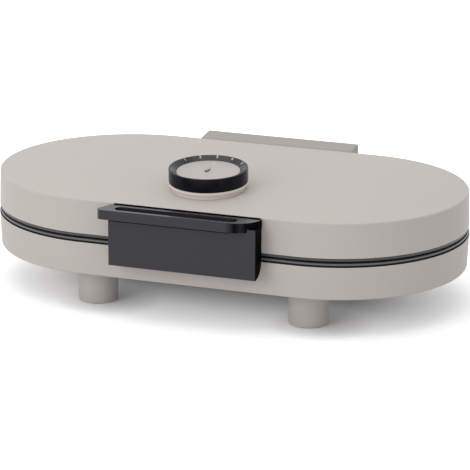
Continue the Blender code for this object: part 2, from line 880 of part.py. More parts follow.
def bottom_cover():
    top = base_floor_z - GAP
    low = top - COVER_THICKNESS
    profile = [(0, top), (cover_radius, top), (cover_radius, low), (0, low)]
    cover = swept_lobes("base_bottom_cover", profile, PLASTIC, steps=SIMPLE_LOBE_STEPS)
    for name, x, y in cover_screw_places:
        hole = cylinder(
            f"{name}_cover_cutter",
            (x, y, top + OVERRUN),
            (x, y, top - COVER_THICKNESS - OVERRUN),
            SCREW_SHANK_RADIUS + GAP,
            group=cutters,
        )
        cut(cover, hole)
        screw(name, (x, y, top - COVER_THICKNESS - GAP), (0, 0, 1), COVER_SCREW_LENGTH)


def screw(name, seat, direction, length):
    """A round-headed screw: its head stands under the seat and its shank runs along the direction."""
    profile = [
        (0, length),
        (SCREW_SHANK_RADIUS, length),
        (SCREW_SHANK_RADIUS, 0),
        (SCREW_HEAD_RADIUS, 0),
        (SCREW_HEAD_TOP_RADIUS, -SCREW_HEAD_HEIGHT),
        (0, -SCREW_HEAD_HEIGHT),
    ]
    turn = Vector(direction).to_track_quat("Z", "Y").to_matrix().to_4x4()
    return turned(name, profile, STEEL, steps=SMALL_STEPS, turn=Matrix.Translation(seat) @ turn)


def along_x(name, outline, first, last):
    """A helper: an outline in (y, z) drawn along X."""
    turn = Matrix(((0, 0, 1, 0), (1, 0, 0, 0), (0, 1, 0, 0), (0, 0, 0, 1)))
    return prism(name, outline, first, last, group=cutters, turn=turn)


def lid_hinge_block():
    """The block behind the lid: a wide top, cored from the front, over a barrel on the pin."""
    barrel = arc((hinge_y, seam_z), BARREL_RADIUS, 0, -math.pi, 2 * ARC_STEPS)
    inner = [(hinge_y + BARREL_RADIUS, shoulder_z + OVERRUN)] + barrel
    inner += [(hinge_y - BARREL_RADIUS, shoulder_z + OVERRUN)]
    front_y = lid_wall(shoulder_z) + GAP
    made = block(
        "lid_hinge_block",
        (-HINGE_HALF_WIDTH, front_y, shoulder_z),
        (HINGE_HALF_WIDTH, hinge_back_y, hinge_top_z),
        BODY,
    )
    round_edges(made, HINGE_BLOCK_ROUND, 2)
    join(made, along_x("hinge_barrel", inner, -barrel_half_length, barrel_half_length))
    row = 2 * (HINGE_HALF_WIDTH - POCKET_SIDE_WALL)
    pitch = (row + POCKET_RIB) / POCKET_COUNT
    for index in range(POCKET_COUNT):
        start = -row / 2 + index * pitch
        pocket = block(
            f"hinge_pocket_cutter_{index}",
            (start, front_y - OVERRUN, shoulder_z + POCKET_WALL),
            (start + pitch - POCKET_RIB, hinge_back_y - POCKET_WALL, hinge_top_z - POCKET_WALL),
            group=cutters,
        )
        cut(made, pocket)
    bore = cylinder(
        "barrel_bore_cutter",
        (-barrel_half_length - OVERRUN, hinge_y, seam_z),
        (barrel_half_length + OVERRUN, hinge_y, seam_z),
        PIN_RADIUS + RUNNING_GAP,
        group=cutters,
        steps=ROUND_STEPS // 2,
    )
    cut(made, bore)
    for side in (-1, 1):
        seat = cylinder(
            f"bush_seat_cutter_{side > 0}",
            (side * (barrel_half_length - BUSH_LENGTH - GAP), hinge_y, seam_z),
            (side * (barrel_half_length + OVERRUN), hinge_y, seam_z),
            PIN_RADIUS + BUSH_WALL + GAP,
            group=cutters,
            steps=ROUND_STEPS // 2,
        )
        cut(made, seat)
    return made


def hinge_bushes():
    turn = Matrix.Rotation(math.pi / 2, 4, "Y")
    bore = PIN_RADIUS + GAP
    outer = PIN_RADIUS + BUSH_WALL
    profile = [(bore, 0), (bore, BUSH_LENGTH), (outer, BUSH_LENGTH), (outer, 0)]
    made = []
    for name, start in (
        ("hinge_bush_left", -barrel_half_length),
        ("hinge_bush_right", barrel_half_length - BUSH_LENGTH),
    ):
        place = Matrix.Translation((start, hinge_y, seam_z)) @ turn
        bush = turned(name, profile, NYLON, closed=True, steps=ROUND_STEPS // 2, turn=place)
        made.append(bush)
    return made


def hinge_bracket():
    """The base's half: two lugs over one block behind the base."""
    low = base_floor_z + BRACKET_FLOOR_RISE
    lug_radius = BARREL_RADIUS - LUG_INSET
    lug = arc((hinge_y, seam_z), lug_radius, 0, math.pi, 2 * ARC_STEPS)
    lug = [(hinge_y + lug_radius, low + OVERRUN)] + lug + [(hinge_y - lug_radius, low + OVERRUN)]
    made = block(
        "hinge_bracket",
        (-HINGE_HALF_WIDTH, base_wall(bridge_top_z) + GAP, low),
        (HINGE_HALF_WIDTH, hinge_y + lug_radius, bridge_top_z),
        BODY,
    )
    lug_inner = HINGE_HALF_WIDTH - LUG_WIDTH
    join(made, along_x("hinge_lug_left", lug, -HINGE_HALF_WIDTH, -lug_inner))
    join(made, along_x("hinge_lug_right", lug, lug_inner, HINGE_HALF_WIDTH))
    bore = cylinder(
        "lug_bore_cutter",
        (-HINGE_HALF_WIDTH - OVERRUN, hinge_y, seam_z),
        (HINGE_HALF_WIDTH + OVERRUN, hinge_y, seam_z),
        PIN_RADIUS + GAP,
        group=cutters,
        steps=ROUND_STEPS // 2,
    )
    return cut(made, bore)


def hinge_pin():
    end = HINGE_HALF_WIDTH - PIN_END_INSET
    return cylinder(
        "hinge_pin",
        (-end, hinge_y, seam_z),
        (end, hinge_y, seam_z),
        PIN_RADIUS,
        STEEL,
        steps=ROUND_STEPS // 2,
    )


def grip_outline():
    """The grip seen from above: slanted on the left, a quarter of an ellipse on the right."""
    back_left = (-HANDLE_LEFT - GRIP_OVERHANG, handle_back_y)
    front_left = (grip_left, grip_front_y)
    front_right = (HANDLE_RIGHT, grip_front_y)
    back_right = (HANDLE_RIGHT, handle_back_y)
    left = fillet(back_left, front_left, front_right, GRIP_LEFT_ROUND)
    quarter = arc((0, 0), 1, -math.pi / 2, 0, 2 * ARC_STEPS)
    right = [
        (
            HANDLE_RIGHT + GRIP_RIGHT_LENGTH * (across - 1),
            grip_front_y + grip_right_depth * (along + 1),
        )
        for across, along in quarter
    ]
    return [back_left] + left + right + [back_right]


def slot_outline():
    radius = SLOT_WIDTH / 2
    y = grip_front_y + SLOT_FRONT_WALL + radius
    left = grip_left + SLOT_END_MARGIN_LEFT + radius
    right = HANDLE_RIGHT - SLOT_END_MARGIN_RIGHT - radius
    points = arc((right, y), radius, -math.pi / 2, math.pi / 2, 2 * ARC_STEPS)
    return points + arc((left, y), radius, math.pi / 2, 3 * math.pi / 2, 2 * ARC_STEPS)


def handle():
    front = handle_back_y - HANDLE_PLATE_PROUD
    back_foot = fillet(
        (handle_back_y, grip_low_z),
        (handle_back_y, handle_low_z),
        (front, handle_low_z),
        HANDLE_BACK_ROUND,
    )
    side_view = [(handle_back_y, grip_low_z + OVERRUN)] + back_foot
    side_view += [(front, handle_low_z), (front, grip_low_z + OVERRUN)]
    made = prism("handle", grip_outline(), grip_low_z, grip_top_z, CHARCOAL)
    round_edges(made, HANDLE_CORNER, 2)
    plate = along_x("handle_plate", side_view, -HANDLE_LEFT, HANDLE_RIGHT - GAP)
    round_edges(plate, HANDLE_CORNER, 2)
    join(made, plate)
    slot = prism(
        "grip_slot_cutter", slot_outline(), grip_top_z - SLOT_DEPTH, grip_top_z + OVERRUN, group=cutters
    )
    cut(made, slot)
    boss_end = -(lid_wall(handle_screw_z - HANDLE_BOSS_RADIUS) + GAP)
    for x in handle_screw_places:
        boss = cylinder(
            f"handle_boss_{x > 0}",
            (x, handle_back_y - OVERRUN, handle_screw_z),
            (x, boss_end, handle_screw_z),
            HANDLE_BOSS_RADIUS,
            group=cutters,
        )
        join(made, boss)
        hole = cylinder(
            f"handle_hole_cutter_{x > 0}",
            (x, boss_end + OVERRUN, handle_screw_z),
            (x, handle_screw_seat_y - HANDLE_SCREW_LENGTH - GAP, handle_screw_z),
            SCREW_SHANK_RADIUS + GAP,
            group=cutters,
        )
        cut(made, hole)
    return made


def handle_screws():
    made = []
    for name, x in zip(("handle_screw_left", "handle_screw_right"), handle_screw_places):
        place = (x, handle_screw_seat_y, handle_screw_z)
        made.append(screw(name, place, (0, -1, 0), HANDLE_SCREW_LENGTH))
    return made


def dial_collar():
    """The pale ring under the dial: its narrower foot follows the lid, its guide wall centres the ring."""
    outer = dial_radius - COLLAR_INSET
    floor_low = COLLAR_HEIGHT - COLLAR_FLOOR
    profile = [
        (LEAD_HOLE_RADIUS, COLLAR_HEIGHT),
        (guide_outer - GUIDE_WALL, COLLAR_HEIGHT),
        (guide_outer - GUIDE_WALL, COLLAR_HEIGHT + GUIDE_HEIGHT),
        (guide_outer, COLLAR_HEIGHT + GUIDE_HEIGHT),
        (guide_outer, COLLAR_HEIGHT),
        (outer, COLLAR_HEIGHT),
        (outer - COLLAR_TAPER, -OVERRUN),
        (outer - COLLAR_TAPER - COLLAR_WALL, -OVERRUN),
        (outer - COLLAR_TAPER - COLLAR_WALL, floor_low),
        (LEAD_HOLE_RADIUS, floor_low),
    ]
    made = turned("dial_collar", profile, BODY, closed=True)
    crown = [(radius, lid_skin_height(radius, GAP)) for radius in crown_radii]
    crown += [(lid_round_radius, lid_rim_z), (0, lid_rim_z)]
    cut(made, swept_lobes("lid_skin_cutter", crown, group=cutters))
    shaft = cylinder(
        "spindle_hole_cutter",
        (spindle_offset, 0, floor_low - OVERRUN),
        (spindle_offset, 0, COLLAR_HEIGHT + OVERRUN),
        SPINDLE_RADIUS + RUNNING_GAP,
        group=cutters,
    )
    hang(shaft, dial_axis)
    return hang(cut(made, shaft), dial_axis)


def gear_outline(teeth, root, tip, root_share, tip_share):
    """A wheel with straight-sided teeth. The shares are of one tooth's pitch at the root and tip."""
    pitch = FULL_TURN / teeth
    tooth = ((root, -root_share), (tip, -tip_share), (tip, tip_share), (root, root_share))
    points = []
    for index in range(teeth):
        for radius, share in tooth:
            turn = index * pitch + share * pitch / 2
            points.append((radius * math.cos(turn), radius * math.sin(turn)))
    return points


def dial_ring():
    """The turned ring: top land, inner bevel with the numbers, and the teeth inside."""
    tooth_tip = ring_pitch_radius - TOOTH_ADDENDUM
    bevel_outer = dial_radius - RING_EDGE_ROUND - RING_TOP_LAND
    profile = [
        (tooth_tip, gear_top),
        (bore_radius, gear_top),
        (bore_radius, cap_top),
        (bevel_outer, ring_top),
        (dial_radius - RING_EDGE_ROUND, ring_top),
        (dial_radius, ring_top - RING_EDGE_ROUND),
        (dial_radius, ring_low),
        (ring_inner, ring_low),
        (ring_inner, gear_low),
        (tooth_tip, gear_low),
    ]
    made = turned("dial_ring", profile, GLOSS_BLACK, closed=True, steps=DIAL_STEPS)
    spaces = gear_outline(
        RING_TEETH,
        tooth_tip - TOOTH_DEDENDUM,
        ring_pitch_radius + TOOTH_DEDENDUM,
        TOOTH_FOOT_SHARE + tooth_play_share,
        TOOTH_TOP_SHARE + tooth_play_share,
    )
    cutter = prism("tooth_space_cutter", spaces, gear_low - OVERRUN, gear_top - GAP, group=cutters)
    hang(cutter, dial_turn)
    return hang(cut(made, cutter), dial_turn)


def dial_cap():
    """The fixed disc with its post, open for the window and the lamp."""
    profile = [
        (post_bore, COLLAR_HEIGHT + GAP),
        (post_bore, cap_top),
        (cap_radius - CAP_EDGE_ROUND, cap_top),
        (cap_radius, cap_top - CAP_EDGE_ROUND),
        (cap_radius, cap_low),
        (post_radius, cap_low),
        (post_radius, COLLAR_HEIGHT + GAP),
    ]
    made = turned("dial_cap", profile, DISC, closed=True)
    pocket = prism(
        "window_cutter",
        capsule(LENS_LENGTH / 2 + GAP, LENS_WIDTH / 2 + GAP),
        cap_top - LENS_SEAT_DEPTH,
        cap_top + OVERRUN,
        group=cutters,
    )
    hang(pocket, dial_axis)
    return hang(cut(made, pocket), dial_axis)


def capsule(half_length, radius):
    """A slot's outline, its long axis turned a little from +Y."""
    reach = half_length - radius
    ahead = Vector((-math.sin(LENS_TURN), math.cos(LENS_TURN))) * reach
    turn = LENS_TURN
    points = arc(tuple(ahead), radius, turn, turn + math.pi, ARC_STEPS)
    return points + arc(tuple(-ahead), radius, turn + math.pi, turn + FULL_TURN, ARC_STEPS)


def window_and_lamp():
    seat = cap_top - LENS_SEAT_DEPTH + GAP
    outline = capsule(LENS_LENGTH / 2, LENS_WIDTH / 2)
    lens = prism("indicator_lens", outline, seat, cap_top + LENS_PROUD, AMBER)
    lamp_top = seat - 2 * GAP
    lamp = cylinder(
        "indicator_lamp",
        (0, 0, lamp_top - LAMP_LENGTH),
        (0, 0, lamp_top),
        post_bore - LAMP_CLEARANCE,
        GLASS,
    )
    return hang(lens, dial_axis), hang(lamp, dial_axis)


def thermostat_body():
    """A flat box under the lid's skin, with a neck that reaches up to the collar's floor."""
    top = thermostat_top
    half_x = THERMOSTAT_LENGTH / 2
    half_y = THERMOSTAT_WIDTH / 2
    made = block(
        "thermostat_body",
        (spindle_offset - half_x, -half_y, top - THERMOSTAT_HEIGHT),
        (spindle_offset + half_x, half_y, top),
        PLASTIC,
    )
    neck_top = COLLAR_HEIGHT - COLLAR_FLOOR - GAP
    neck = cylinder(
        "thermostat_neck",
        (spindle_offset, 0, top - OVERRUN),
        (spindle_offset, 0, neck_top),
        neck_radius,
        group=cutters,
        steps=ROUND_STEPS // 2,
    )
    bore = cylinder(
        "thermostat_bore_cutter",
        (spindle_offset, 0, top - THERMOSTAT_HEIGHT / 2),
        (spindle_offset, 0, neck_top + OVERRUN),
        neck_bore,
        group=cutters,
        steps=ROUND_STEPS // 2,
    )
    hang(neck, dial_axis)
    hang(bore, dial_axis)
    join(made, neck)
    return hang(cut(made, bore), dial_axis)


def spindle_and_pinion():
    """In the frame of the spindle's own axis."""
    outline = gear_outline(
        PINION_TEETH,
        pinion_pitch_radius - TOOTH_DEDENDUM,
        pinion_pitch_radius + TOOTH_ADDENDUM,
        TOOTH_FOOT_SHARE - tooth_play_share,
        TOOTH_TOP_SHARE - tooth_play_share,
    )
    pinion = prism("dial_pinion", outline, gear_low + GAP, gear_top - GAP, NYLON)
    bore = cylinder(
        "pinion_bore_cutter",
        (0, 0, gear_low - OVERRUN),
        (0, 0, gear_top + OVERRUN),
        SPINDLE_RADIUS + GAP,
        group=cutters,
    )
    hang(bore, spindle_turn)
    cut(pinion, bore)
    low = thermostat_top - THERMOSTAT_HEIGHT / 2 + GAP
    spindle = cylinder("thermostat_spindle", (0, 0, low), (0, 0, gear_top - GAP), SPINDLE_RADIUS, STEEL)
    return hang(pinion, spindle_turn), hang(spindle, spindle_turn)


def cord_gland():
    """The inlet behind the base: a round boss outside, a neck through the wall."""
    place = Matrix.Translation((gland_x, 0, gland_z)) @ Matrix.Rotation(-math.pi / 2, 4, "X")
    wall_outer = base_wall(gland_z + GLAND_RADIUS) + GAP
    wall_inner = base_floor_radius - SHELL_WALL - GAP
    profile = [
        (GLAND_BORE, wall_outer + GLAND_PROUD),
        (GLAND_BORE, wall_inner - GLAND_INNER_LENGTH),
        (GLAND_NECK_RADIUS, wall_inner - GLAND_INNER_LENGTH),
        (GLAND_NECK_RADIUS, wall_outer),
        (GLAND_RADIUS, wall_outer),
        (GLAND_RADIUS, wall_outer + GLAND_PROUD),
    ]
    return turned("cord_gland", profile, CHARCOAL, closed=True, steps=ROUND_STEPS // 2, turn=place)


def terminal_block():
    low = block_low_z
    half_x = BLOCK_LENGTH / 2
    half_y = BLOCK_DEPTH / 2
    made = block(
        "terminal_block",
        (block_x - half_x, block_y - half_y, low),
        (block_x + half_x, block_y + half_y, low + BLOCK_HEIGHT),
        NYLON,
    )
    pitch = BLOCK_LENGTH / TERMINAL_COUNT
    for index in range(TERMINAL_COUNT):
        x = block_x - half_x + pitch / 2 + index * pitch
        well = cylinder(
            f"terminal_cutter_{index}",
            (x, block_y, low + BLOCK_HEIGHT - TERMINAL_DEPTH),
            (x, block_y, low + BLOCK_HEIGHT + OVERRUN),
            TERMINAL_RADIUS,
            group=cutters,
        )
        cut(made, well)
    return made


def thermal_fuse():
    z = seam_z - plate_ceiling_depth - GAP - FUSE_RADIUS
    half = FUSE_LENGTH / 2
    return cylinder(
        "thermal_fuse", (-half_spacing, -half, z), (-half_spacing, half, z), FUSE_RADIUS, STEEL
    )


for old in list(bpy.data.objects):
    bpy.data.objects.remove(old)

parts = new_collection("double_waffle_maker")
cutters = new_collection("cutters")

BODY = material("warm_grey_paint", (0.48, 0.44, 0.41), 0.42)
CHARCOAL = material("charcoal_plastic", (0.052, 0.052, 0.058), 0.42)
GLOSS_BLACK = material("black_dial", (0.012, 0.012, 0.014), 0.25)
DISC = material("pale_disc", (0.50, 0.47, 0.44), 0.35)
CAST = material("dark_cast_plate", (0.045, 0.045, 0.048), 0.45, 0.3)
SHEET = material("aluminised_sheet", (0.62, 0.62, 0.63), 0.35, 1.0)
STEEL = material("steel", (0.55, 0.55, 0.56), 0.3, 1.0)
PLASTIC = material("dark_plastic", (0.06, 0.06, 0.065), 0.5)
LID_BAND_FINISH = material("lid_band", (0.06, 0.06, 0.065), 0.4)
BASE_BAND_FINISH = material("base_band", (0.20, 0.20, 0.21), 0.4)
NYLON = material("nylon", (0.72, 0.71, 0.66), 0.5)
RUBBER = material("rubber", (0.03, 0.03, 0.03), 0.8)
AMBER = material("amber_window", (0.75, 0.16, 0.03), 0.15)
GLASS = material("lamp_glass", (0.8, 0.5, 0.35), 0.1)

foot_places = [
    ("foot_front_left", -foot_x, -foot_y),
    ("foot_front_right", foot_x, -foot_y),
    ("foot_back_left", -foot_x, foot_y),
    ("foot_back_right", foot_x, foot_y),
]
cover_screw_x = half_spacing - COVER_SCREW_INSET
cover_screw_y = hatch_radius + HATCH_OVERLAP / 2
cover_screw_places = [
    ("cover_screw_front_left", -cover_screw_x, -cover_screw_y),
    ("cover_screw_front_right", cover_screw_x, -cover_screw_y),
    ("cover_screw_back_left", -cover_screw_x, cover_screw_y),
    ("cover_screw_back_right", cover_screw_x, cover_screw_y),
]
handle_screw_places = (-HANDLE_SCREW_X, HANDLE_SCREW_X)
handle_screw_z = lid_edge_z - HANDLE_SCREW_DROP
handle_screw_seat_y = -(lid_wall(handle_screw_z + SCREW_HEAD_RADIUS) - SHELL_WALL - GAP)
dial_place = Matrix.Translation((0, dial_y, dial_z)) @ Matrix.Rotation(dial_tilt, 4, "X")

# Joint axes, as empties
lid_axis = axis_at("lid_axis", (0, hinge_y, seam_z))
dial_axis = axis_at("dial_axis", (0, dial_y, dial_z), tilt=dial_tilt)
dial_turn = axis_at("dial_turn_axis", (0, 0, 0), parent=dial_axis)
spindle_turn = axis_at("spindle_turn_axis", (spindle_offset, 0, 0), parent=dial_axis)

# The base
base_shell()
base_skirt_wall = base_wall(seam_z - frame_skirt_end_depth - SHELL_WALL)
plate_frame("base_plate_frame", -1, base_rim_radius, BASE_BAND, base_skirt_wall, BASE_BAND_FINISH)
heat_shield("heat_shield_lower", -1)
for place in foot_places:
    foot(*place)
bottom_cover()
hinge_bracket()
hinge_pin()
cord_gland()
terminal_block()
thermal_fuse()

# The lid
lid_skirt_wall = lid_wall(seam_z + frame_skirt_end_depth)
upper = [
    lid_shell(),
    plate_frame("lid_plate_frame", 1, lid_rim_radius, LID_BAND, lid_skirt_wall, LID_BAND_FINISH),
    heat_shield("heat_shield_upper", 1),
    lid_hinge_block(),
    handle(),
]
upper += hinge_bushes() + handle_screws()
plates = waffle_plates()
upper += [plates["upper", "left"], plates["upper", "right"]]
for level, side in (("lower", -1), ("upper", 1)):
    for hand_name, hand in (("left", -1), ("right", 1)):
        element = heating_element(f"heating_element_{level}_{hand_name}", side, hand)
        if level == "upper":
            upper.append(element)

# The dial
dial_collar()
dial_ring()
dial_cap()
window_and_lamp()
thermostat_body()
spindle_and_pinion()

# The lid's pieces keep their places and hang on its axis
bpy.context.view_layer.update()
for piece in upper + [dial_axis]:
    piece.parent = lid_axis
    piece.matrix_parent_inverse = lid_axis.matrix_world.inverted()
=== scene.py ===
"""The looks of the double waffle maker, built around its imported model.

Shapes are given in millimetres and MM makes them metres. X runs along the long side, the handle
faces -Y and the feet stand at z = 0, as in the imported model.
"""

import math

import bmesh
import bpy
from mathutils import Matrix, Vector


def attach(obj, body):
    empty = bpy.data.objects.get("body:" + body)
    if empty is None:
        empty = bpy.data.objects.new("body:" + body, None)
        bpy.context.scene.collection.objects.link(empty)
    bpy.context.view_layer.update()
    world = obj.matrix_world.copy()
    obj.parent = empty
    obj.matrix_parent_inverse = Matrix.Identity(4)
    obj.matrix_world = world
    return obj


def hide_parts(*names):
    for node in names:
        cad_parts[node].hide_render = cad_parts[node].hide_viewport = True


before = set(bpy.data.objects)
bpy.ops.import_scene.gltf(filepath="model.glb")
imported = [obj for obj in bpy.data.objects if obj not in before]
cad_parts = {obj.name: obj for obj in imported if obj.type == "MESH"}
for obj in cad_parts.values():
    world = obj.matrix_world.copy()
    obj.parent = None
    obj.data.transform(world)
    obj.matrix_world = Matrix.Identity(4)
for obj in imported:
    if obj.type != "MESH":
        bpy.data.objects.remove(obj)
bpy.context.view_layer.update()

MM = 0.001
MERGE = 2e-6
QUARTER_TURN = math.pi / 2
HALF_TURN = math.pi
FULL_TURN = 2 * math.pi
UP = Vector((0, 0, 1))

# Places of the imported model. The lobes are its round ends, and the seam is the parting plane.
LOBE = 97.4
SEAM = 68.0
BASE_RIM = 63.8
SHELL_WALL = 2.0
CROWN = 6.9
CROWN_RADIUS = 116.8
LID_EDGE = 102.4
FOOT_X, FOOT_Y = 98.2, 75.5
COVER_SCREW_X, COVER_SCREW_Y = 70, 48.5
SCREW_HOLE = 1.8
INLET_X, INLET_Z = 93.8, 49
HINGE_Y = 129.0
HANDLE_BACK = -118.2
HANDLE_SCREW_X, HANDLE_SCREW_Z = 40, 85.4
GRIP_LOW, GRIP_HIGH = 93.2, 101.7
DIAL_FOOT = (0.0, -59.8, 107.491)
DIAL_TILT = math.radians(3.4617)
WINDOW_HALF_LENGTH = 3.9

# Fineness
LOBE_STEPS = 96
MIDDLE_STEPS = 8
ROUND_STEPS = 96
CORNER_STEPS = 4
DIAL_STEPS = 144
SMOOTH_ANGLE = 30


# Modelling by hand


def deselect():
    if bpy.context.object and bpy.context.object.mode != "OBJECT":
        bpy.ops.object.mode_set(mode="OBJECT")
    for item in list(bpy.context.selected_objects):
        item.select_set(False)


def take(*pieces):
    """Only these are selected, and the first is the active one."""
    deselect()
    for piece in pieces:
        piece.select_set(True)
    bpy.context.view_layer.objects.active = pieces[0]
    return pieces[0]


def edit(piece, kind="VERT"):
    take(piece)
    bpy.ops.object.mode_set(mode="EDIT")
    bpy.ops.mesh.select_mode(type=kind)
    bpy.ops.mesh.select_all(action="DESELECT")


def choose(test, kind="verts"):
    """In edit mode, selects what the test accepts and nothing else."""
    mesh = bpy.context.object.data
    bpy.ops.mesh.select_all(action="DESELECT")
    shape = bmesh.from_edit_mesh(mesh)
    for part in getattr(shape, kind):
        if test(part):
            part.select_set(True)
    shape.select_flush_mode()
    bmesh.update_edit_mesh(mesh)


def level(height):
    """A test for edges or faces that lie at one height."""
    return lambda part: all(abs(v.co.z - height * MM) < MERGE for v in part.verts)


def weld():
    bpy.ops.mesh.select_all(action="SELECT")
    bpy.ops.mesh.remove_doubles(threshold=MERGE)
    bpy.ops.mesh.normals_make_consistent(inside=False)


def settle(piece, place):
    """Moves a piece to its place and puts that into its mesh."""
    take(piece)
    piece.matrix_world = place
    bpy.ops.object.transform_apply(location=True, rotation=True, scale=True)
    return piece


def draw(name, corners, plane, closed=False):
    """A line drawn corner by corner.

    A corner is (across, along) or (across, along, rounding radius).
    """
    deselect()
    bpy.ops.mesh.primitive_plane_add(size=MM)
    piece = bpy.context.object
    piece.name = piece.data.name = name
    bpy.ops.object.mode_set(mode="EDIT")
    bpy.ops.mesh.select_mode(type="VERT")
    bpy.ops.mesh.merge(type="CENTER")
    points = [Vector(plane(corner[0], corner[1])) * MM for corner in corners]
    bpy.ops.transform.translate(value=points[0])
    for here, ahead in zip(points, points[1:]):
        bpy.ops.mesh.extrude_vertices_move(TRANSFORM_OT_translate={"value": ahead - here})
    if closed:
        choose(lambda v: min((v.co - points[0]).length, (v.co - points[-1]).length) < MERGE)
        bpy.ops.mesh.edge_face_add()
    for index, corner in enumerate(corners):
        if len(corner) > 2:
            here = points[index]
            back = (points[index - 1] - here).normalized()
            ahead = (points[(index + 1) % len(points)] - here).normalized()
            reach = corner[2] * MM / math.tan(back.angle(ahead) / 2)
            choose(lambda v: (v.co - here).length < MERGE)
            bpy.ops.mesh.bevel(offset=reach, segments=CORNER_STEPS, affect="VERTICES")
    return piece


def modify(piece, kind, **settings):
    """Adds a modifier and applies it."""
    take(piece)
    modifier = piece.modifiers.new(kind.lower(), kind)
    for key, value in settings.items():
        setattr(modifier, key, value)
    bpy.ops.object.modifier_apply(modifier=modifier.name)
    return piece


def racetrack(name, profile, closed=False, steps=LOBE_STEPS):
    """A profile of (radius, height) carried round both lobes and along the straight middle."""
    piece = draw(name, profile, lambda radius, height: (LOBE, -radius, height), closed)
    bpy.ops.mesh.select_all(action="SELECT")
    bpy.ops.mesh.spin(steps=steps, angle=-HALF_TURN, center=(LOBE * MM, 0, 0), axis=UP)
    weld()
    bpy.ops.mesh.select_mode(type="EDGE")
    choose(
        lambda e: e.is_boundary and all(abs(v.co.x - LOBE * MM) < MERGE for v in e.verts), "edges"
    )
    step = (-LOBE * MM / MIDDLE_STEPS, 0, 0)
    for _ in range(MIDDLE_STEPS):
        bpy.ops.mesh.extrude_edges_move(TRANSFORM_OT_translate={"value": step})
    modify(piece, "MIRROR", merge_threshold=1e-5)
    edit(piece)
    weld()
    deselect()
    return piece


def turned(name, profile, place=None, closed=False, steps=ROUND_STEPS):
    """A profile of (radius, height) spun about Z, then put in its place."""
    piece = draw(name, profile, lambda radius, height: (radius, 0, height), closed)
    bpy.ops.mesh.select_all(action="SELECT")
    bpy.ops.mesh.spin(steps=steps, angle=FULL_TURN, center=(0, 0, 0), axis=UP)
    weld()
    deselect()
    return settle(piece, place or Matrix.Identity(4))


def prism(name, outline, low, high, place=None):
    """An outline of (x, y) filled and drawn up from one height to another."""
    piece = draw(name, outline, lambda x, y: (x, y, low), True)
    bpy.ops.mesh.select_all(action="SELECT")
    bpy.ops.mesh.edge_face_add()
    bpy.ops.mesh.extrude_region_move(TRANSFORM_OT_translate={"value": (0, 0, (high - low) * MM)})
    weld()
    deselect()
    return settle(piece, place or Matrix.Identity(4))


def block(name, low, high):
    deselect()
    size = [(b - a) * MM for a, b in zip(low, high)]
    centre = [(b + a) * MM / 2 for a, b in zip(low, high)]
    bpy.ops.mesh.primitive_cube_add(size=1, location=centre, scale=size)
    piece = bpy.context.object
    piece.name = piece.data.name = name
    bpy.ops.object.transform_apply(location=True, rotation=True, scale=True)
    return piece


def rod(name, start, end, radius, steps=48):
    """A plain cylinder between two points, used as a cutter or as a start."""
    deselect()
    run = Vector(end) - Vector(start)
    middle = (Vector(start) + Vector(end)) / 2 * MM
    bpy.ops.mesh.primitive_cylinder_add(vertices=steps, radius=radius * MM, depth=run.length * MM)
    piece = bpy.context.object
    piece.name = piece.data.name = name
    turn = run.to_track_quat("Z", "Y").to_matrix().to_4x4()
    return settle(piece, Matrix.Translation(middle) @ turn)


def merge(piece, *others, operation="UNION"):
    for other in others:
        modify(piece, "BOOLEAN", object=other, operation=operation, solver="EXACT")
        bpy.data.objects.remove(other)
    return piece


def cut(piece, *tools):
    return merge(piece, *tools, operation="DIFFERENCE")


def soften(piece, width, steps=3, limit=40):
    return modify(
        piece, "BEVEL", width=width * MM, segments=steps, limit_method="ANGLE",
        angle_limit=math.radians(limit), use_clamp_overlap=True,
    )


def copy(piece, name, place):
    """A copy with its own mesh, put in its place."""
    made = piece.copy()
    made.data = piece.data.copy()
    made.name = made.data.name = name
    bpy.context.scene.collection.objects.link(made)
    return settle(made, place)


def joined(pieces):
    take(*pieces)
    bpy.ops.object.join()
    return bpy.context.object


def dress(piece, body, slot, finish, *stands_for):
    """Smooths a finished piece, gives it its finish and fixes it to its body."""
    take(piece)
    bpy.ops.object.shade_smooth_by_angle(angle=math.radians(SMOOTH_ANGLE))
    modify(piece, "WEIGHTED_NORMAL", keep_sharp=True)
    piece.data.materials.clear()
    piece.data.materials.append(finish)
    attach(piece, body)
    if stands_for:
        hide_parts(*stands_for)
    return piece


def repaint(piece, finish, test):
    """Gives the faces that the test accepts a finish of their own."""
    piece.data.materials.append(finish)
    edit(piece, "FACE")
    choose(test, "faces")
    piece.active_material_index = len(piece.data.materials) - 1
    bpy.ops.object.material_slot_assign()
    deselect()


def faces_up(face, above):
    """Whether a face looks up and lies above a height."""
    return face.normal.z > 0.9 and face.calc_center_median().z > above * MM


def arc(centre, radius, first, last, steps):
    turns = [first + (last - first) * i / steps for i in range(steps + 1)]
    return [(centre[0] + radius * math.cos(t), centre[1] + radius * math.sin(t)) for t in turns]


# Finishes

SEEN_RAYS = ("Is Camera Ray", "Is Glossy Ray", "Is Transmission Ray")


class Value:
    """One output of a shader node. Sums on it add Math nodes."""

    def __init__(self, finish, output):
        self.finish = finish
        self.output = output

    def math(self, operation, first, second):
        return self.finish.add("Math", {"operation": operation}, first, second)

    def __add__(self, other):
        return self.math("ADD", self, other)

    __radd__ = __add__

    def __sub__(self, other):
        return self.math("SUBTRACT", self, other)

    def __rsub__(self, other):
        return self.math("SUBTRACT", other, self)

    def __mul__(self, other):
        return self.math("MULTIPLY", self, other)

    __rmul__ = __mul__

    def __truediv__(self, other):
        return self.math("DIVIDE", self, other)

    def __pow__(self, other):
        return self.math("POWER", self, other)

    def __gt__(self, other):
        return self.math("GREATER_THAN", self, other)

    def __lt__(self, other):
        return self.math("LESS_THAN", self, other)

    def __abs__(self):
        return self.math("ABSOLUTE", self, 0.0)


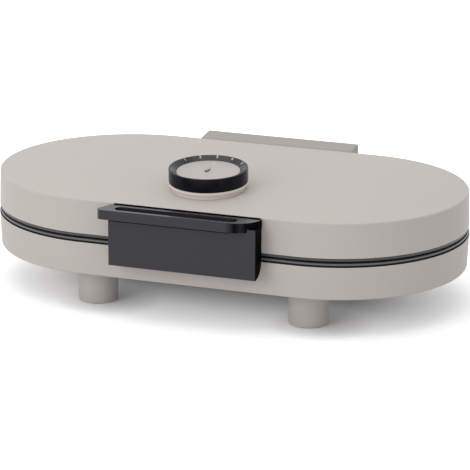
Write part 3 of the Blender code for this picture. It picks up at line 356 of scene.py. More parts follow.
class Finish:
    """A material that is put together node by node."""

    def __init__(self, name, **constants):
        self.material = bpy.data.materials.new(name)
        self.material.use_nodes = True
        self.nodes = self.material.node_tree.nodes
        self.shader = self.nodes["Principled BSDF"]
        self.place = Value(self, self.nodes.new("ShaderNodeTexCoord").outputs["Object"])
        self.set(**constants)

    def feed(self, socket, value):
        if isinstance(value, Value):
            self.material.node_tree.links.new(value.output, socket)
        else:
            socket.default_value = value

    def add(self, kind, settings, *values, output=0, **named):
        node = self.nodes.new("ShaderNode" + kind)
        for key, value in settings.items():
            setattr(node, key, value)
        for key, value in [*enumerate(values), *named.items()]:
            self.feed(node.inputs[key], value)
        return Value(self, node.outputs[output])

    def set(self, **inputs):
        """Feeds the main shader. Coat_Weight stands for its Coat Weight input."""
        for key, value in inputs.items():
            self.feed(self.shader.inputs[key.replace("_", " ")], value)

    def noise(self, scale, detail=2.0, vector=None):
        return self.add("TexNoise", {}, Vector=vector or self.place, Scale=scale, Detail=detail)

    def stretched(self, scale):
        """The place on the piece with its axes scaled, for a grain that runs one way."""
        return self.add("Mapping", {}, self.place, Scale=scale)

    def blend(self, share, first, second):
        """A colour between two colours."""
        node = self.nodes.new("ShaderNodeMix")
        node.data_type = "RGBA"
        self.feed(node.inputs[0], share)
        for socket, colour in ((node.inputs[6], first), (node.inputs[7], second)):
            self.feed(socket, colour if isinstance(colour, Value) else (*colour, 1.0))
        return Value(self, node.outputs[2])

    def bump(self, height, distance, strength=1.0):
        self.set(Normal=self.add("Bump", {}, Strength=strength, Distance=distance, Height=height))

    def axes(self):
        parts = self.nodes.new("ShaderNodeSeparateXYZ")
        self.feed(parts.inputs[0], self.place)
        return [Value(self, output) for output in parts.outputs]

    def clamped(self, value):
        """The value held between 0 and 1."""
        return self.add("Math", {"operation": "ADD", "use_clamp": True}, value, 0.0)

    def seen_directly(self):
        """1 for rays from the camera, off gloss and through glass, and 0 for light."""
        camera, glossy, through = (self.add("LightPath", {}, output=ray) for ray in SEEN_RAYS)
        return self.clamped(camera + glossy + through)


def tinted(colour, share):
    return tuple(channel * share for channel in colour)


def moulded(name, colour, roughness, grain=1400.0, depth=0.00002, spread=0.06, **constants):
    """Moulded plastic or paint: faint clouds and a fine grain."""
    finish = Finish(name, **constants)
    clouds = finish.noise(28.0, 3.0)
    specks = finish.noise(grain, 2.0)
    share = clouds * 0.6 + specks * 0.4
    finish.set(
        Base_Color=finish.blend(share, tinted(colour, 1 - spread), tinted(colour, 1 + spread)),
        Roughness=roughness - 0.06 + 0.12 * finish.noise(grain / 3, 2.0),
    )
    finish.bump(specks, depth)
    return finish.material


def body_paint(name, colour):
    """Satin paint with faint clouds, fine flecks and a slight orange-peel surface."""
    finish = Finish(name, Specular_IOR_Level=0.12)
    clouds = finish.noise(14.0, 3.0)
    flecks = finish.noise(2600.0, 1.0)
    share = clouds * 0.5 + flecks * 0.5
    finish.set(
        Base_Color=finish.blend(share, tinted(colour, 0.965), tinted(colour, 1.035)),
        Roughness=0.48 + 0.10 * finish.noise(600.0, 2.0),
    )
    finish.bump(finish.noise(1500.0, 3.0) * 0.7 + finish.noise(90.0, 2.0) * 0.3, 0.00004, 0.6)
    return finish.material


def seam_band(name, colour, low, high):
    """The band's colour between two heights, and near black in the gaps over and under it, which
    is painted shade.
    """
    finish = Finish(name)
    height = finish.axes()[2]
    band_not_painted_gap = (height > low * MM) * (height < high * MM)
    share = band_not_painted_gap * (0.85 + 0.15 * finish.noise(40.0, 3.0))
    # Near black outside the band's heights is painted shade in the gaps.
    finish.set(
        Base_Color=finish.blend(share, (0.004, 0.004, 0.005), colour),
        Roughness=0.62 - 0.24 * band_not_painted_gap + 0.10 * finish.noise(500.0, 2.0),
    )
    finish.bump(finish.noise(1400.0, 2.0), 0.00002)
    return finish.material


def grip_turn():
    """The grip's rim: charcoal along the front, going over to near black where it turns back, less
    so in a narrow band there; the near black is a painted dark reflection and the band a painted
    highlight.
    """
    charcoal = (0.0240, 0.0228, 0.0300)
    finish = Finish("grip_rim_charcoal_painted_reflections", Specular_IOR_Level=0.27)
    grain = finish.noise(1800.0, 2.0)
    finish.set(
        Base_Color=finish.blend(grain, tinted(charcoal, 0.95), tinted(charcoal, 1.05)),
        Roughness=0.34 + 0.12 * grain,
    )
    finish.bump(grain, 0.00003)
    black = finish.nodes.new("ShaderNodeBsdfPrincipled")
    black.inputs["Specular IOR Level"].default_value = 0.03
    painted_dark_reflection = finish.blend(grain, (0.001, 0.001, 0.0014), (0.002, 0.002, 0.003))
    finish.feed(black.inputs["Base Color"], painted_dark_reflection)
    finish.feed(black.inputs["Roughness"], 0.5 + 0.1 * grain)
    # Where the rim turns back it mixes to near black, a painted dark reflection, less so round a
    # middle where a painted highlight lies.
    turn_start, turn_length, painted_highlight_middle, painted_highlight_reach = 44.0 * MM, 8.0 * MM, 57.0 * MM, 4.0 * MM
    x = finish.axes()[0]
    painted_dark_share = finish.clamped((x - turn_start) / turn_length)
    painted_highlight = finish.clamped(1.0 - abs(x - painted_highlight_middle) / painted_highlight_reach)
    mixed = finish.nodes.new("ShaderNodeMixShader")
    finish.feed(mixed.inputs[0], painted_dark_share * (1.0 - 0.35 * painted_highlight))
    output = next(node for node in finish.nodes if node.type == "OUTPUT_MATERIAL")
    finish.feed(mixed.inputs[1], Value(finish, finish.shader.outputs[0]))
    finish.feed(mixed.inputs[2], Value(finish, black.outputs[0]))
    finish.feed(output.inputs["Surface"], Value(finish, mixed.outputs[0]))
    return finish.material


def turned_lines(finish, fineness):
    """Lines that run round the dial's own axis, as a lathe leaves them."""
    x, y, z = finish.axes()
    across = y - DIAL_FOOT[1] * MM
    height = z * math.cos(DIAL_TILT) - y * math.sin(DIAL_TILT)
    radius = (x * x + across * across) ** 0.5
    round_axis = finish.add("CombineXYZ", {}, radius * fineness, height * fineness, x * 12.0)
    return finish.noise(1.0, 3.0, round_axis)


def ring_plastic():
    """Black gloss with fine turned lines that run round the ring."""
    finish = Finish("dial_black_gloss", Specular_IOR_Level=0.12)
    lines = turned_lines(finish, 3200.0)
    specks = finish.noise(900.0, 2.0)
    finish.set(
        Base_Color=finish.blend(lines, (0.0010, 0.0012, 0.0030), (0.0080, 0.0082, 0.0130)),
        Roughness=0.12 + 0.16 * lines + 0.05 * specks,
    )
    finish.bump(lines, 0.00002)
    return finish.material


def disc_metal():
    """Pale satin paint with fine turned lines round the dial's middle."""
    finish = Finish("dial_disc_satin", Metallic=0.15)
    lines = turned_lines(finish, 2400.0)
    wobble = finish.noise(300.0, 2.0)
    finish.set(
        Base_Color=finish.blend(lines, (0.43, 0.392, 0.367), (0.52, 0.470, 0.442)),
        Roughness=0.34 + 0.08 * wobble,
    )
    finish.bump(lines + wobble, 0.000008)
    return finish.material


def non_stick():
    """The plates' dark coat, with lighter flecks."""
    finish = Finish("non_stick_coat", Specular_IOR_Level=0.5)
    flecks = finish.noise(1500.0, 2.0) > 0.68
    share = flecks * 0.5 + 0.3 * finish.noise(40.0)
    finish.set(
        Base_Color=finish.blend(share, (0.030, 0.030, 0.033), (0.10, 0.10, 0.105)),
        Roughness=0.36 + 0.14 * finish.noise(200.0, 2.0),
    )
    finish.bump(finish.noise(900.0, 3.0), 0.00004)
    return finish.material


def metal(name, colour, roughness, grain=(900.0, 900.0, 900.0), spread=0.12):
    """Bare metal whose grain is stretched along the axes with the smaller scale."""
    finish = Finish(name, Metallic=1.0)
    streaks = finish.noise(1.0, 3.0, finish.stretched(grain))
    finish.set(
        Base_Color=finish.blend(streaks, tinted(colour, 1 - spread), tinted(colour, 1 + spread)),
        Roughness=roughness - 0.08 + 0.16 * streaks,
    )
    finish.bump(streaks, 0.00001)
    return finish.material


def rubber():
    """Matt black rubber with a little dust."""
    finish = Finish("foot_rubber", Specular_IOR_Level=0.3)
    dust = finish.noise(350.0, 3.0)
    finish.set(
        Base_Color=finish.blend(dust, (0.018, 0.018, 0.018), (0.045, 0.044, 0.042)),
        Roughness=0.75 + 0.15 * dust,
    )
    finish.bump(finish.noise(2200.0, 2.0), 0.00005)
    return finish.material


def amber_window():
    """The lamp window's top: clear plastic over the unlit lamp, with a warm middle."""
    finish = Finish("amber_window", Coat_Weight=0.3, Coat_Roughness=0.1)
    along = (finish.axes()[1] - DIAL_FOOT[1] * MM) / (WINDOW_HALF_LENGTH * MM)
    middle = finish.clamped(1.0 - abs(along))
    share = finish.clamped(middle * 0.9 + 0.3 * finish.noise(700.0, 1.0))
    finish.set(
        Base_Color=finish.blend(share, (0.26, 0.185, 0.155), (0.40, 0.245, 0.180)),
        Roughness=0.25 + 0.08 * finish.noise(900.0, 1.0),
    )
    return finish.material


GREIGE = body_paint("greige_paint", (0.570, 0.524, 0.490))
# A lighter copy of the body paint for the dial's collar: painted light that lifts the shade on its
# downward-facing flare.
COLLAR_PAINTED_LIGHT_GREIGE = body_paint("collar_greige_paint_painted_light", (0.76, 0.70, 0.65))
# A darker copy of the body paint for the hinge block: painted shade.
HINGE_PAINTED_SHADE_GREIGE = body_paint("hinge_greige_paint_painted_shade", (0.415, 0.378, 0.350))
# Both seam finishes carry painted shade: near black in the gaps over and under the bands.
LID_BAND_PAINTED_GAPS = seam_band("seam_charcoal_painted_gaps", (0.040, 0.040, 0.043), SEAM + 1.1, SEAM + 3.3)
BASE_BAND_PAINTED_GAPS = seam_band("seam_grey_painted_gaps", (0.118, 0.118, 0.127), SEAM - 2.35, SEAM - 0.5)
CHARCOAL = moulded(
    "handle_charcoal", (0.0235, 0.0223, 0.0300), 0.40, grain=1800.0, depth=0.00003,
    Specular_IOR_Level=0.27,
)
# A slightly lighter, glossier copy of the handle's charcoal for the grip's top faces: painted
# light.
GRIP_TOP_PAINTED_LIGHT = moulded(
    "grip_top_charcoal_painted_light", (0.0250, 0.0245, 0.0300), 0.34, grain=1800.0, Specular_IOR_Level=0.56
)
GRIP_RIM_PAINTED_REFLECTIONS = grip_turn()
# Near black for the handle's right end and its grooves and gaps: painted shade.
HANDLE_PAINTED_SHADE = moulded("handle_end_painted_shade", (0.001, 0.001, 0.0015), 0.6, Specular_IOR_Level=0.02)
BLACK = ring_plastic()
DISC = disc_metal()
COAT = non_stick()
BEVEL = moulded("dial_bevel_satin", (0.013, 0.013, 0.016), 0.26, Specular_IOR_Level=0.36)
PRINT = moulded("number_print", (0.72, 0.73, 0.72), 0.5, depth=0.000004)
AMBER = amber_window()
# Dark brown for the lamp window's sides: painted shade.
WINDOW_SIDE_PAINTED_SHADE = moulded("window_side_painted_shade", (0.022, 0.012, 0.009), 0.3, Specular_IOR_Level=0.2)
RUBBER = rubber()
DARK = moulded("dark_moulding", (0.045, 0.045, 0.048), 0.52, grain=900.0, depth=0.00005)
NYLON = moulded("natural_nylon", (0.70, 0.68, 0.62), 0.45)
ZINC = metal("zinc_steel", (0.60, 0.60, 0.61), 0.30)
SHEATH = metal("element_sheath", (0.30, 0.28, 0.26), 0.45, spread=0.25)
SHEET = metal("shield_sheet", (0.80, 0.80, 0.81), 0.34, grain=(60.0, 2400.0, 60.0))
GLASS = moulded("lamp_glass", (0.75, 0.45, 0.30), 0.10, Transmission_Weight=0.6)


# Casings


def skin(radius, lift=0.0):
    """The height of the lid's crown at a distance from the line between the lobes' centres."""
    return LID_EDGE + CROWN * (1 - (radius / CROWN_RADIUS) ** 2) + lift


DIAL_PLACE = Matrix.Translation(Vector(DIAL_FOOT) * MM) @ Matrix.Rotation(DIAL_TILT, 4, "X")


def upright_holes(x, y, high, radius, steps):
    """Four cutters from under the base up to a height, one in each corner."""
    corners = [(side * x, end * y) for side in (-1, 1) for end in (-1, 1)]
    return [rod("hole", (x, y, 30), (x, y, high), radius, steps) for x, y in corners]


def handle_screw_holes(start, end):
    """Two cutters that run from one Y to the other."""
    return [
        rod("hole", (x, start, HANDLE_SCREW_Z), (x, end, HANDLE_SCREW_Z), SCREW_HOLE, 24)
        for x in (-HANDLE_SCREW_X, HANDLE_SCREW_X)
    ]


def lid_shell():
    crown = range(0, 111, 10)
    edge, low, inner_edge = 116.78, 71.5, 114.8
    outside = [(radius, skin(radius)) for radius in crown]
    outside += [(edge, skin(edge), 1.5), (117.6, low, 0.5)]
    inside = [(115.6, low, 0.5), (inner_edge, skin(inner_edge, -SHELL_WALL), 1.0)]
    inside += [(radius, skin(radius, -SHELL_WALL)) for radius in crown[::-1]]
    shell = racetrack("lid_casing", outside + inside)
    opening = rod("dial_opening", (0, 0, -4), (0, 0, 4), 24.0, 72)
    settle(opening, DIAL_PLACE)
    return cut(shell, opening, *handle_screw_holes(-121, -112))


def base_shell():
    floor, hatch = 34.4, 44
    profile = [
        (hatch, floor, 0.3), (116.5, floor, 1.5), (117.9, BASE_RIM, 0.5), (115.9, BASE_RIM, 0.5),
        (114.6, floor + SHELL_WALL, 0.8), (hatch, floor + SHELL_WALL, 0.3),
    ]
    shell = racetrack("base_casing", profile, closed=True)
    holes = upright_holes(FOOT_X, FOOT_Y, 40, 5.3, 32)
    holes += upright_holes(COVER_SCREW_X, COVER_SCREW_Y, 40, SCREW_HOLE, 24)
    holes.append(rod("inlet", (INLET_X, 112, INLET_Z), (INLET_X, 121, INLET_Z), 5.3, 48))
    return cut(shell, joined(holes))


def plate_frame(name, side, band, band_height, skirt):
    """The frame at the seam. Depths are counted from the parting plane, down for the base's."""
    front, back, skirt_end, skirt_wall = 1.0, 5.3, 10.3, 2.2
    shoulder, inner = front + band_height, skirt - skirt_wall
    depths = [
        (0, front), (band, front, 0.35), (band, shoulder, 0.3), (skirt, shoulder),
        (skirt, skirt_end, 0.3), (inner, skirt_end, 0.3), (inner, back, 0.3), (0, back),
    ]
    made = racetrack(name, [(c[0], SEAM + side * c[1], *c[2:]) for c in depths])
    seat = [
        (0, -2), (94.6, -2), (94.1, 1.0), (93.3, 1.4), (93.3, 3.3), (90.3, 3.3), (90.3, 8), (0, 8),
    ]
    for hand in (1, -1):
        tool = turned(f"{name}_seat", [(r, side * d) for r, d in seat], steps=128)
        settle(tool, Matrix.Translation((hand * LOBE * MM, 0, SEAM * MM)))
        cut(made, tool)
    return made


dress(lid_shell(), "lid", "body", GREIGE, "lid_shell")
casing = dress(base_shell(), "base", "body", GREIGE, "base_shell")
# The casing's upward rim faces take the seam finish, which is near black at that height: painted
# shade on the rim's top.
repaint(casing, BASE_BAND_PAINTED_GAPS, lambda f: faces_up(f, BASE_RIM - 0.8))
lid_frame = plate_frame("lid_seam_frame", 1, 116.9, 2.2, 115.12)
dress(lid_frame, "lid", "lid_band", LID_BAND_PAINTED_GAPS, "lid_plate_frame")
base_frame = plate_frame("base_seam_frame", -1, 117.2, 1.9, 115.24)
dress(base_frame, "base", "base_band", BASE_BAND_PAINTED_GAPS, "base_plate_frame")


# Cooking plates


def heart_outline(reach, lobe_angle, side_angle, shrink, steps):
    """A heart with its tip at the origin and its lobes towards +X, as (x, y) corners."""
    lean = math.sin(side_angle - lobe_angle)
    distance = reach / (1 + lean)
    radius = distance * lean
    cx, cy = distance * math.cos(lobe_angle), distance * math.sin(lobe_angle)
    small = radius - shrink
    notch = math.asin(min(1.0, cy / small))
    upper = arc((cx, cy), small, -notch, side_angle + QUARTER_TURN, steps)
    tip = (shrink / math.sin(side_angle), 0.0, 3.0)
    return upper + [tip] + [(x, -y) for x, y in upper[:0:-1]]


def waffle_plate():
    """The lower plate with the parting plane at z = 0: five hearts sunk in, with raised cells."""
    face, land = -2.4, -0.2
    profile = [
        (0, face), (86, face, 0.8), (86, land, 0.8), (93, land, 0.6), (93, -3.0, 0.4),
        (90, -3.0, 0.3), (90, -13.4, 0.4), (85, -13.4, 0.4), (85, -10.4, 0.8), (0, -10.4),
    ]
    plate = turned("waffle_plate", profile, steps=144)
    lobe_angle, side_angle = math.radians(16), math.radians(36)
    outline = heart_outline(84.4, lobe_angle, side_angle, shrink=0.9, steps=14)
    heart = prism("heart_pit", outline, face, 1.0)
    edit(heart, "FACE")
    choose(level(face), "faces")
    walls = [(0.25, 0.08), (0.2, 0.27), (0.15, 0.6), (0.2, 3.0), (0.35, 0.7), (0.5, 0.35)]
    for inward, down in walls:
        bpy.ops.mesh.inset(thickness=inward * MM, depth=down * MM)
    deselect()
    bpy.ops.mesh.primitive_cone_add(
        vertices=4, radius1=7.64 * MM, radius2=5.52 * MM, depth=5.8 * MM,
        location=(0, 0, -5.3 * MM),
    )
    cell = bpy.context.object
    bpy.ops.object.transform_apply(location=True, rotation=True, scale=True)
    edit(cell, "EDGE")
    choose(lambda e: max(v.co.z for v in e.verts) > -3 * MM, "edges")
    bpy.ops.mesh.bevel(offset=0.8 * MM, segments=3)
    deselect()
    spots = [
        (21.2, 0), (31.8, 10.6), (31.8, -10.6), (42.4, 0),
        (53, 10.6), (53, -10.6), (63.6, 21.2), (63.6, -21.2),
    ]
    hearts, cells = [], []
    for index in range(5):
        turn = Matrix.Rotation(FULL_TURN * index / 5, 4, "Z")
        hearts.append(copy(heart, "heart_pit_copy", turn))
        for x, y in spots:
            cells.append(copy(cell, "cell_copy", turn @ Matrix.Translation((x * MM, y * MM, 0))))
    bpy.data.objects.remove(heart)
    bpy.data.objects.remove(cell)
    cut(plate, joined(hearts))
    return merge(plate, joined(cells))


pattern = waffle_plate()
for tier, flip, body in (("lower", 0.0, "base"), ("upper", HALF_TURN, "lid")):
    for side, hand in (("left", -1), ("right", 1)):
        spot = Matrix.Translation((hand * LOBE * MM, 0, SEAM * MM)) @ Matrix.Rotation(flip, 4, "X")
        plate = copy(pattern, f"heart_plate_{tier}_{side}", spot)
        dress(plate, body, "cooking_plate", COAT, f"waffle_plate_{tier}_{side}")
bpy.data.objects.remove(pattern)


# Feet and underside


def foot(name, x, y):
    """A round foot with a spigot on top, and the grooved rubber pad in its underside."""
    profile = [
        (0, 37.2), (5.0, 37.2, 0.4), (5.0, 34.1), (18.0, 34.1, 0.3),
        (17.3, 0.4, 0.9), (13.3, 0.4, 0.2), (13.3, 2.3), (0, 2.3),
    ]
    place = Matrix.Translation((x * MM, y * MM, 0))
    dress(turned(f"round_{name}", profile, place), "base", "body", GREIGE, name)
    grooves = [(0, 0.0)]
    for radius in (3.0, 5.5, 8.0, 10.5):
        grooves += [(radius, 0.0), (radius + 0.2, 0.5), (radius + 0.8, 0.5), (radius + 1.0, 0.0)]
    grooves += [(13, 0.0, 0.3), (13, 2.0, 0.2), (0, 2.0)]
    pad = name.replace("foot", "foot_pad")
    dress(turned(f"grooved_{pad}", grooves, place, steps=64), "base", "pad_rubber", RUBBER, pad)


def cover_screw(corner, x, y):
    """A round-headed screw with a cross recess, drawn with the head's upper face at z = 0."""
    length, shank = 4.0, 1.5
    profile = [
        (0, length), (shank - 0.4, length), (shank, length - 0.5), (shank, 0),
        (3.2, 0, 0.15), (3.1, -0.5, 0.5), (2.3, -1.35, 0.5), (0, -1.4),
    ]
    made = turned(f"hatch_screw_{corner}", profile, steps=40)
    arms = [
        block("recess", (-1.7, -0.28, -2), (1.7, 0.28, -0.75)),
        block("recess", (-0.28, -1.7, -2), (0.28, 1.7, -0.75)),
    ]
    cut(made, *arms)
    settle(made, Matrix.Translation((x * MM, y * MM, 32.6 * MM)))
    dress(made, "base", "steel", ZINC, f"cover_screw_{corner}")


def bottom_cover():
    high, low, groove = 34.1, 32.9, 33.4
    profile = [
        (0, high), (53, high, 0.2), (53, low, 0.5), (45, low, 0.3),
        (44, groove, 0.3), (41, groove, 0.3), (40, low, 0.3), (0, low),
    ]
    cover = racetrack("hatch_cover", profile, steps=72)
    holes = upright_holes(COVER_SCREW_X, COVER_SCREW_Y, 36, SCREW_HOLE, 24)
    vents = [block("vent", (x - 1.25, -14, 32), (x + 1.25, 14, 33.5)) for x in range(-32, 33, 8)]
    return cut(cover, joined(holes), joined(vents))


for across, side in (("left", -1), ("right", 1)):
    for along, end in (("front", -1), ("back", 1)):
        corner = f"{along}_{across}"
        foot(f"foot_{corner}", side * FOOT_X, end * FOOT_Y)
        cover_screw(corner, side * COVER_SCREW_X, end * COVER_SCREW_Y)
dress(bottom_cover(), "base", "dark_plastic", DARK, "base_bottom_cover")


# Hinge


ALONG_X = Matrix(((0, 0, 1, 0), (1, 0, 0, 0), (0, 1, 0, 0), (0, 0, 0, 1)))


def along_x(name, outline, first, last):
    """An outline of (y, z) drawn along X."""
    return prism(name, outline, first, last, ALONG_X)


def pin_line(name, first, last, radius):
    """A cutter along the hinge pin."""
    return rod(name, (first, HINGE_Y, SEAM), (last, HINGE_Y, SEAM), radius)


def hinge_block():
    """The block behind the lid: its top slopes, the pin runs in its barrel, and it is hollow."""
    front, back, low = 117.7, 139.8, 79.4
    side = [(front, low), (front, 102.8), (back, 104.9), (back, low)]
    made = along_x("hinge_block_cover", side, -74.0, 74.0)
    soften(made, 1.5, 4)
    barrel = arc((HINGE_Y, SEAM), 10.8, 0, -HALF_TURN, 40)
    outline = [(back, 84.0)] + barrel + [(118.2, 84.0)]
    merge(made, soften(along_x("barrel", outline, -59.9, 59.9), 0.5, 2, 60))
    for index in range(4):
        start = -58.4 + index * 29.95
        pocket = block("pocket", (start, 116, 83.9), (start + 26.95, 135.3, 98.8))
        cut(made, soften(pocket, 1.0, 2))
    tools = [pin_line("bore", -62, 62, 3.6)]
    tools += [pin_line("bush_seat", hand * 47.6, hand * 62, 5.3) for hand in (-1, 1)]
    return cut(made, *tools)


def hinge_bracket():
    outer, inner, back = 74.4, 60.2, 139.5
    made = soften(block("hinge_lugs", (-outer, 117.83, 38.4), (outer, back, 55.4)), 1.2, 3)
    lug = [(back, 42.0)] + arc((HINGE_Y, SEAM), 10.5, 0, HALF_TURN, 40) + [(118.5, 42.0)]
    for low, high in ((-outer, -inner), (inner, outer)):
        merge(made, soften(along_x("lug", lug, low, high), 0.7, 3, 60))
    return cut(made, pin_line("bore", -80, 80, 3.3))


def hinge_pin():
    end, radius = 73.4, 3
    profile = [(0, -end), (radius, -end, 0.5), (radius, end, 0.5), (0, end)]
    middle = Matrix.Translation((0, HINGE_Y * MM, SEAM * MM))
    return turned("pin_rod", profile, middle @ Matrix.Rotation(QUARTER_TURN, 4, "Y"), steps=48)


def cord_gland():
    """The gland through the base's back wall, with an open bore."""
    profile = [
        (3.4, 125.4, 0.8), (3.4, 110.6), (5.0, 110.6), (5.0, 117.9), (7.2, 117.9),
        (7.2, 119.6, 0.2), (6.6, 119.8, 0.2), (6.6, 120.9, 0.2), (7.0, 121.1, 0.2),
        (6.4, 125.4, 0.8),
    ]
    place = Matrix.Translation((INLET_X * MM, 0, INLET_Z * MM))
    place @= Matrix.Rotation(-QUARTER_TURN, 4, "X")
    return turned("inlet_gland", profile, place, closed=True, steps=64)


# The hinge block takes the darker copy of the body paint, painted shade.
dress(hinge_block(), "lid", "body", HINGE_PAINTED_SHADE_GREIGE, "lid_hinge_block")
dress(hinge_bracket(), "base", "body", GREIGE, "hinge_bracket")
dress(hinge_pin(), "base", "steel", ZINC, "hinge_pin")
dress(cord_gland(), "base", "dark_plastic", DARK, "cord_gland")


# Handle


def corner_arc(before, corner, after, radius, steps):
    """The points of a rounded corner of an outline."""
    here = Vector(corner)
    back = (Vector(before) - here).normalized()
    ahead = (Vector(after) - here).normalized()
    half = back.angle(ahead) / 2
    centre = here + (back + ahead).normalized() * (radius / math.sin(half))
    first = here + back * (radius / math.tan(half)) - centre
    last = here + ahead * (radius / math.tan(half)) - centre
    start = math.atan2(first.y, first.x)
    sweep = (math.atan2(last.y, last.x) - start + HALF_TURN) % FULL_TURN - HALF_TURN
    return arc(tuple(centre), radius, start, start + sweep, steps)


def is_gap(place):
    """Whether a place lies in a groove, on the back lip or where plate and grip meet; these places
    take a near black painted shade.
    """
    x, y, z = place / MM
    at_the_back = y > -120.95 and z > 100.3
    under_the_grip = -134.1 < y < -133.3 and 90.6 < z < 91.8
    at_the_right_end = x > 50 and 95.8 < z < 96.2
    return at_the_back or under_the_grip or at_the_right_end


def handle():
    """The grip is slanted on its left and rounded on its right, over the plate that hangs down."""
    front, right = -139.8, 69.8
    back_left, front_left = (-65.9, HANDLE_BACK), (-75.2, front)
    outline = [back_left] + corner_arc(back_left, front_left, (right, front), 4.2, 8)
    for x, y in arc((0, 0), 1, -QUARTER_TURN, 0, 28):
        outline.append((right + 24.5 * (x - 1), 20.5 * (y + 1) + front))
    made = prism("front_handle", outline + [(right, HANDLE_BACK)], GRIP_LOW, GRIP_HIGH)
    back_low, plate_front, high = (HANDLE_BACK, 51.4), -134.2, 96.0
    front_low = (plate_front, back_low[1])
    side = [(HANDLE_BACK, high), *corner_arc((HANDLE_BACK, high), back_low, front_low, 14.0, 16)]
    plate = along_x("hanging_plate", side + [front_low, (plate_front, high)], -64.2, 69.5)
    lip_left, lip_right, lip_front = -64.6, 68.6, -119.2
    lip = block("back_lip", (lip_left, lip_front, high), (lip_right, HANDLE_BACK, 102.5))
    merge(made, plate, lip)
    left_end, right_end = (-53.65, -130.4), (46.45, -130.4)
    slot = arc(right_end, 5.4, -QUARTER_TURN, QUARTER_TURN, 16)
    slot += arc(left_end, 5.4, QUARTER_TURN, 3 * QUARTER_TURN, 16)
    cut(made, prism("slot", slot, 95.7, 104))
    soften(made, 0.6, 3, 35)
    cut(
        made,
        block("back_groove", (lip_left, -120.9, 100.4), (lip_right, lip_front, 103)),
        block("under_grip_groove", (-66, -135.0, 90.8), (46, -133.6, 91.7)),
    )
    bosses = [
        rod("boss", (x, lip_front, HANDLE_SCREW_Z), (x, -117.75, HANDLE_SCREW_Z), 6.0)
        for x in (-HANDLE_SCREW_X, HANDLE_SCREW_X)
    ]
    merge(made, *bosses)
    return cut(made, *handle_screw_holes(-116, -125.6))


def turns_back(face):
    """Whether a face is on the grip's rim and doesn't look to the rear."""
    above = face.calc_center_median().z > GRIP_LOW * MM
    return abs(face.normal.z) < 0.6 and face.normal.y < 0.1 and above


grip = dress(handle(), "lid", "handle_plastic", CHARCOAL, "handle")
# The grip's top faces take the lighter copy of the charcoal, painted light.
repaint(grip, GRIP_TOP_PAINTED_LIGHT, lambda f: faces_up(f, GRIP_HIGH - 0.1))
# The turning rim takes the painted dark reflection and painted highlight.
repaint(grip, GRIP_RIM_PAINTED_REFLECTIONS, turns_back)
# Near black painted shade on the faces that look along +X and in the grooves and gaps.
repaint(grip, HANDLE_PAINTED_SHADE, lambda f: f.normal.x > 0.8 or is_gap(f.calc_center_median()))


# Dial


def dial_collar():
    """The flared collar with the rail that the ring turns on, cut off at the lid's crown."""
    profile = [
        (1.8, 6.3), (28.6, 6.3), (28.6, 8.9, 0.3), (30.2, 8.9, 0.3), (30.2, 6.3),
        (35.0, 6.3, 0.4), (35.0, 4.4, 1.0), (32.6, 1.9, 1.0), (31.8, -2.0),
        (29.0, -2.0), (29.0, 3.8), (1.8, 3.8),
    ]
    made = turned("dial_plinth", profile, DIAL_PLACE, closed=True, steps=DIAL_STEPS)
    outer, low = 116, 90
    crown = [(radius, skin(radius, 0.05)) for radius in (*range(0, 111, 10), outer)]
    shaft = rod("shaft", (16.2, 0, 0), (16.2, 0, 10), 3.6, 32)
    under = racetrack("skin_tool", crown + [(outer, low), (0, low)])
    return cut(made, under, settle(shaft, DIAL_PLACE))


def gear_outline(teeth, root, tip, root_share, tip_share):
    """Straight-sided teeth. The shares say how much of the pitch a tooth's root and tip take."""
    pitch = FULL_TURN / teeth
    tooth = ((root, -root_share), (tip, -tip_share), (tip, tip_share), (root, root_share))
    points = []
    for index in range(teeth):
        for radius, share in tooth:
            turn = index * pitch + share * pitch / 2
            points.append((radius * math.cos(turn), radius * math.sin(turn)))
    return points


def dial_ring():
    """The ring with its sloping face for the numbers and its teeth inside."""
    outer, high, low = 34.7, 18.78, 6.6
    profile = [
        (26.0, 14.2), (28.0, 14.2), (28.1, 15.5, 0.15), (33.3, high, 0.25), (outer, high, 0.7),
        (outer, low, 0.35), (30.5, low), (30.5, 9.2), (26.0, 9.2),
    ]
    made = turned("number_ring", profile, closed=True, steps=DIAL_STEPS)
    spaces = prism("tooth_spaces", gear_outline(30, 24.7, 28.3, 0.766, 0.446), 9.0, 14.0)
    cut(made, spaces)
    return settle(made, DIAL_PLACE)


def dial_numbers():
    """The numbers 1 to 5 printed on the ring's inner bevel, seen from the front."""
    slope, radius, height = math.atan2(3.3, 5.2), 31.7, 17.96
    made = []
    for number, degrees in enumerate((-60.2, -33.1, -6.0, 21.1, 48.2), 1):
        deselect()
        bpy.ops.object.text_add()
        text = bpy.context.object
        text.data.body = str(number)
        text.data.size = 4.0 * MM
        text.data.align_x = text.data.align_y = "CENTER"
        text.data.extrude = 0.03 * MM
        text.data.offset = 0.06 * MM
        bpy.ops.object.convert(target="MESH")
        turn = math.radians(degrees)
        out = Vector((math.sin(turn), math.cos(turn), 0))
        right = Vector((math.cos(turn), -math.sin(turn), 0))
        rise = out * math.cos(slope) + UP * math.sin(slope)
        spot = Matrix.Translation(out * radius * MM + UP * height * MM)
        facing = Matrix((right, rise, right.cross(rise))).transposed().to_4x4()
        made.append(settle(bpy.context.object, DIAL_PLACE @ spot @ facing))
    piece = joined(made)
    piece.name = piece.data.name = "dial_numbers"
    return piece


def capsule(half_length, radius, steps=12):
    """The lamp window's outline, which lies a little off the dial's middle."""
    turn = math.radians(-3.0)
    reach = half_length - radius
    middle = Vector((-0.95, 0.5))
    ahead = Vector((-math.sin(turn), math.cos(turn))) * reach
    points = arc(middle + ahead, radius, turn, turn + HALF_TURN, steps)
    return points + arc(middle - ahead, radius, turn + HALF_TURN, turn + FULL_TURN, steps)


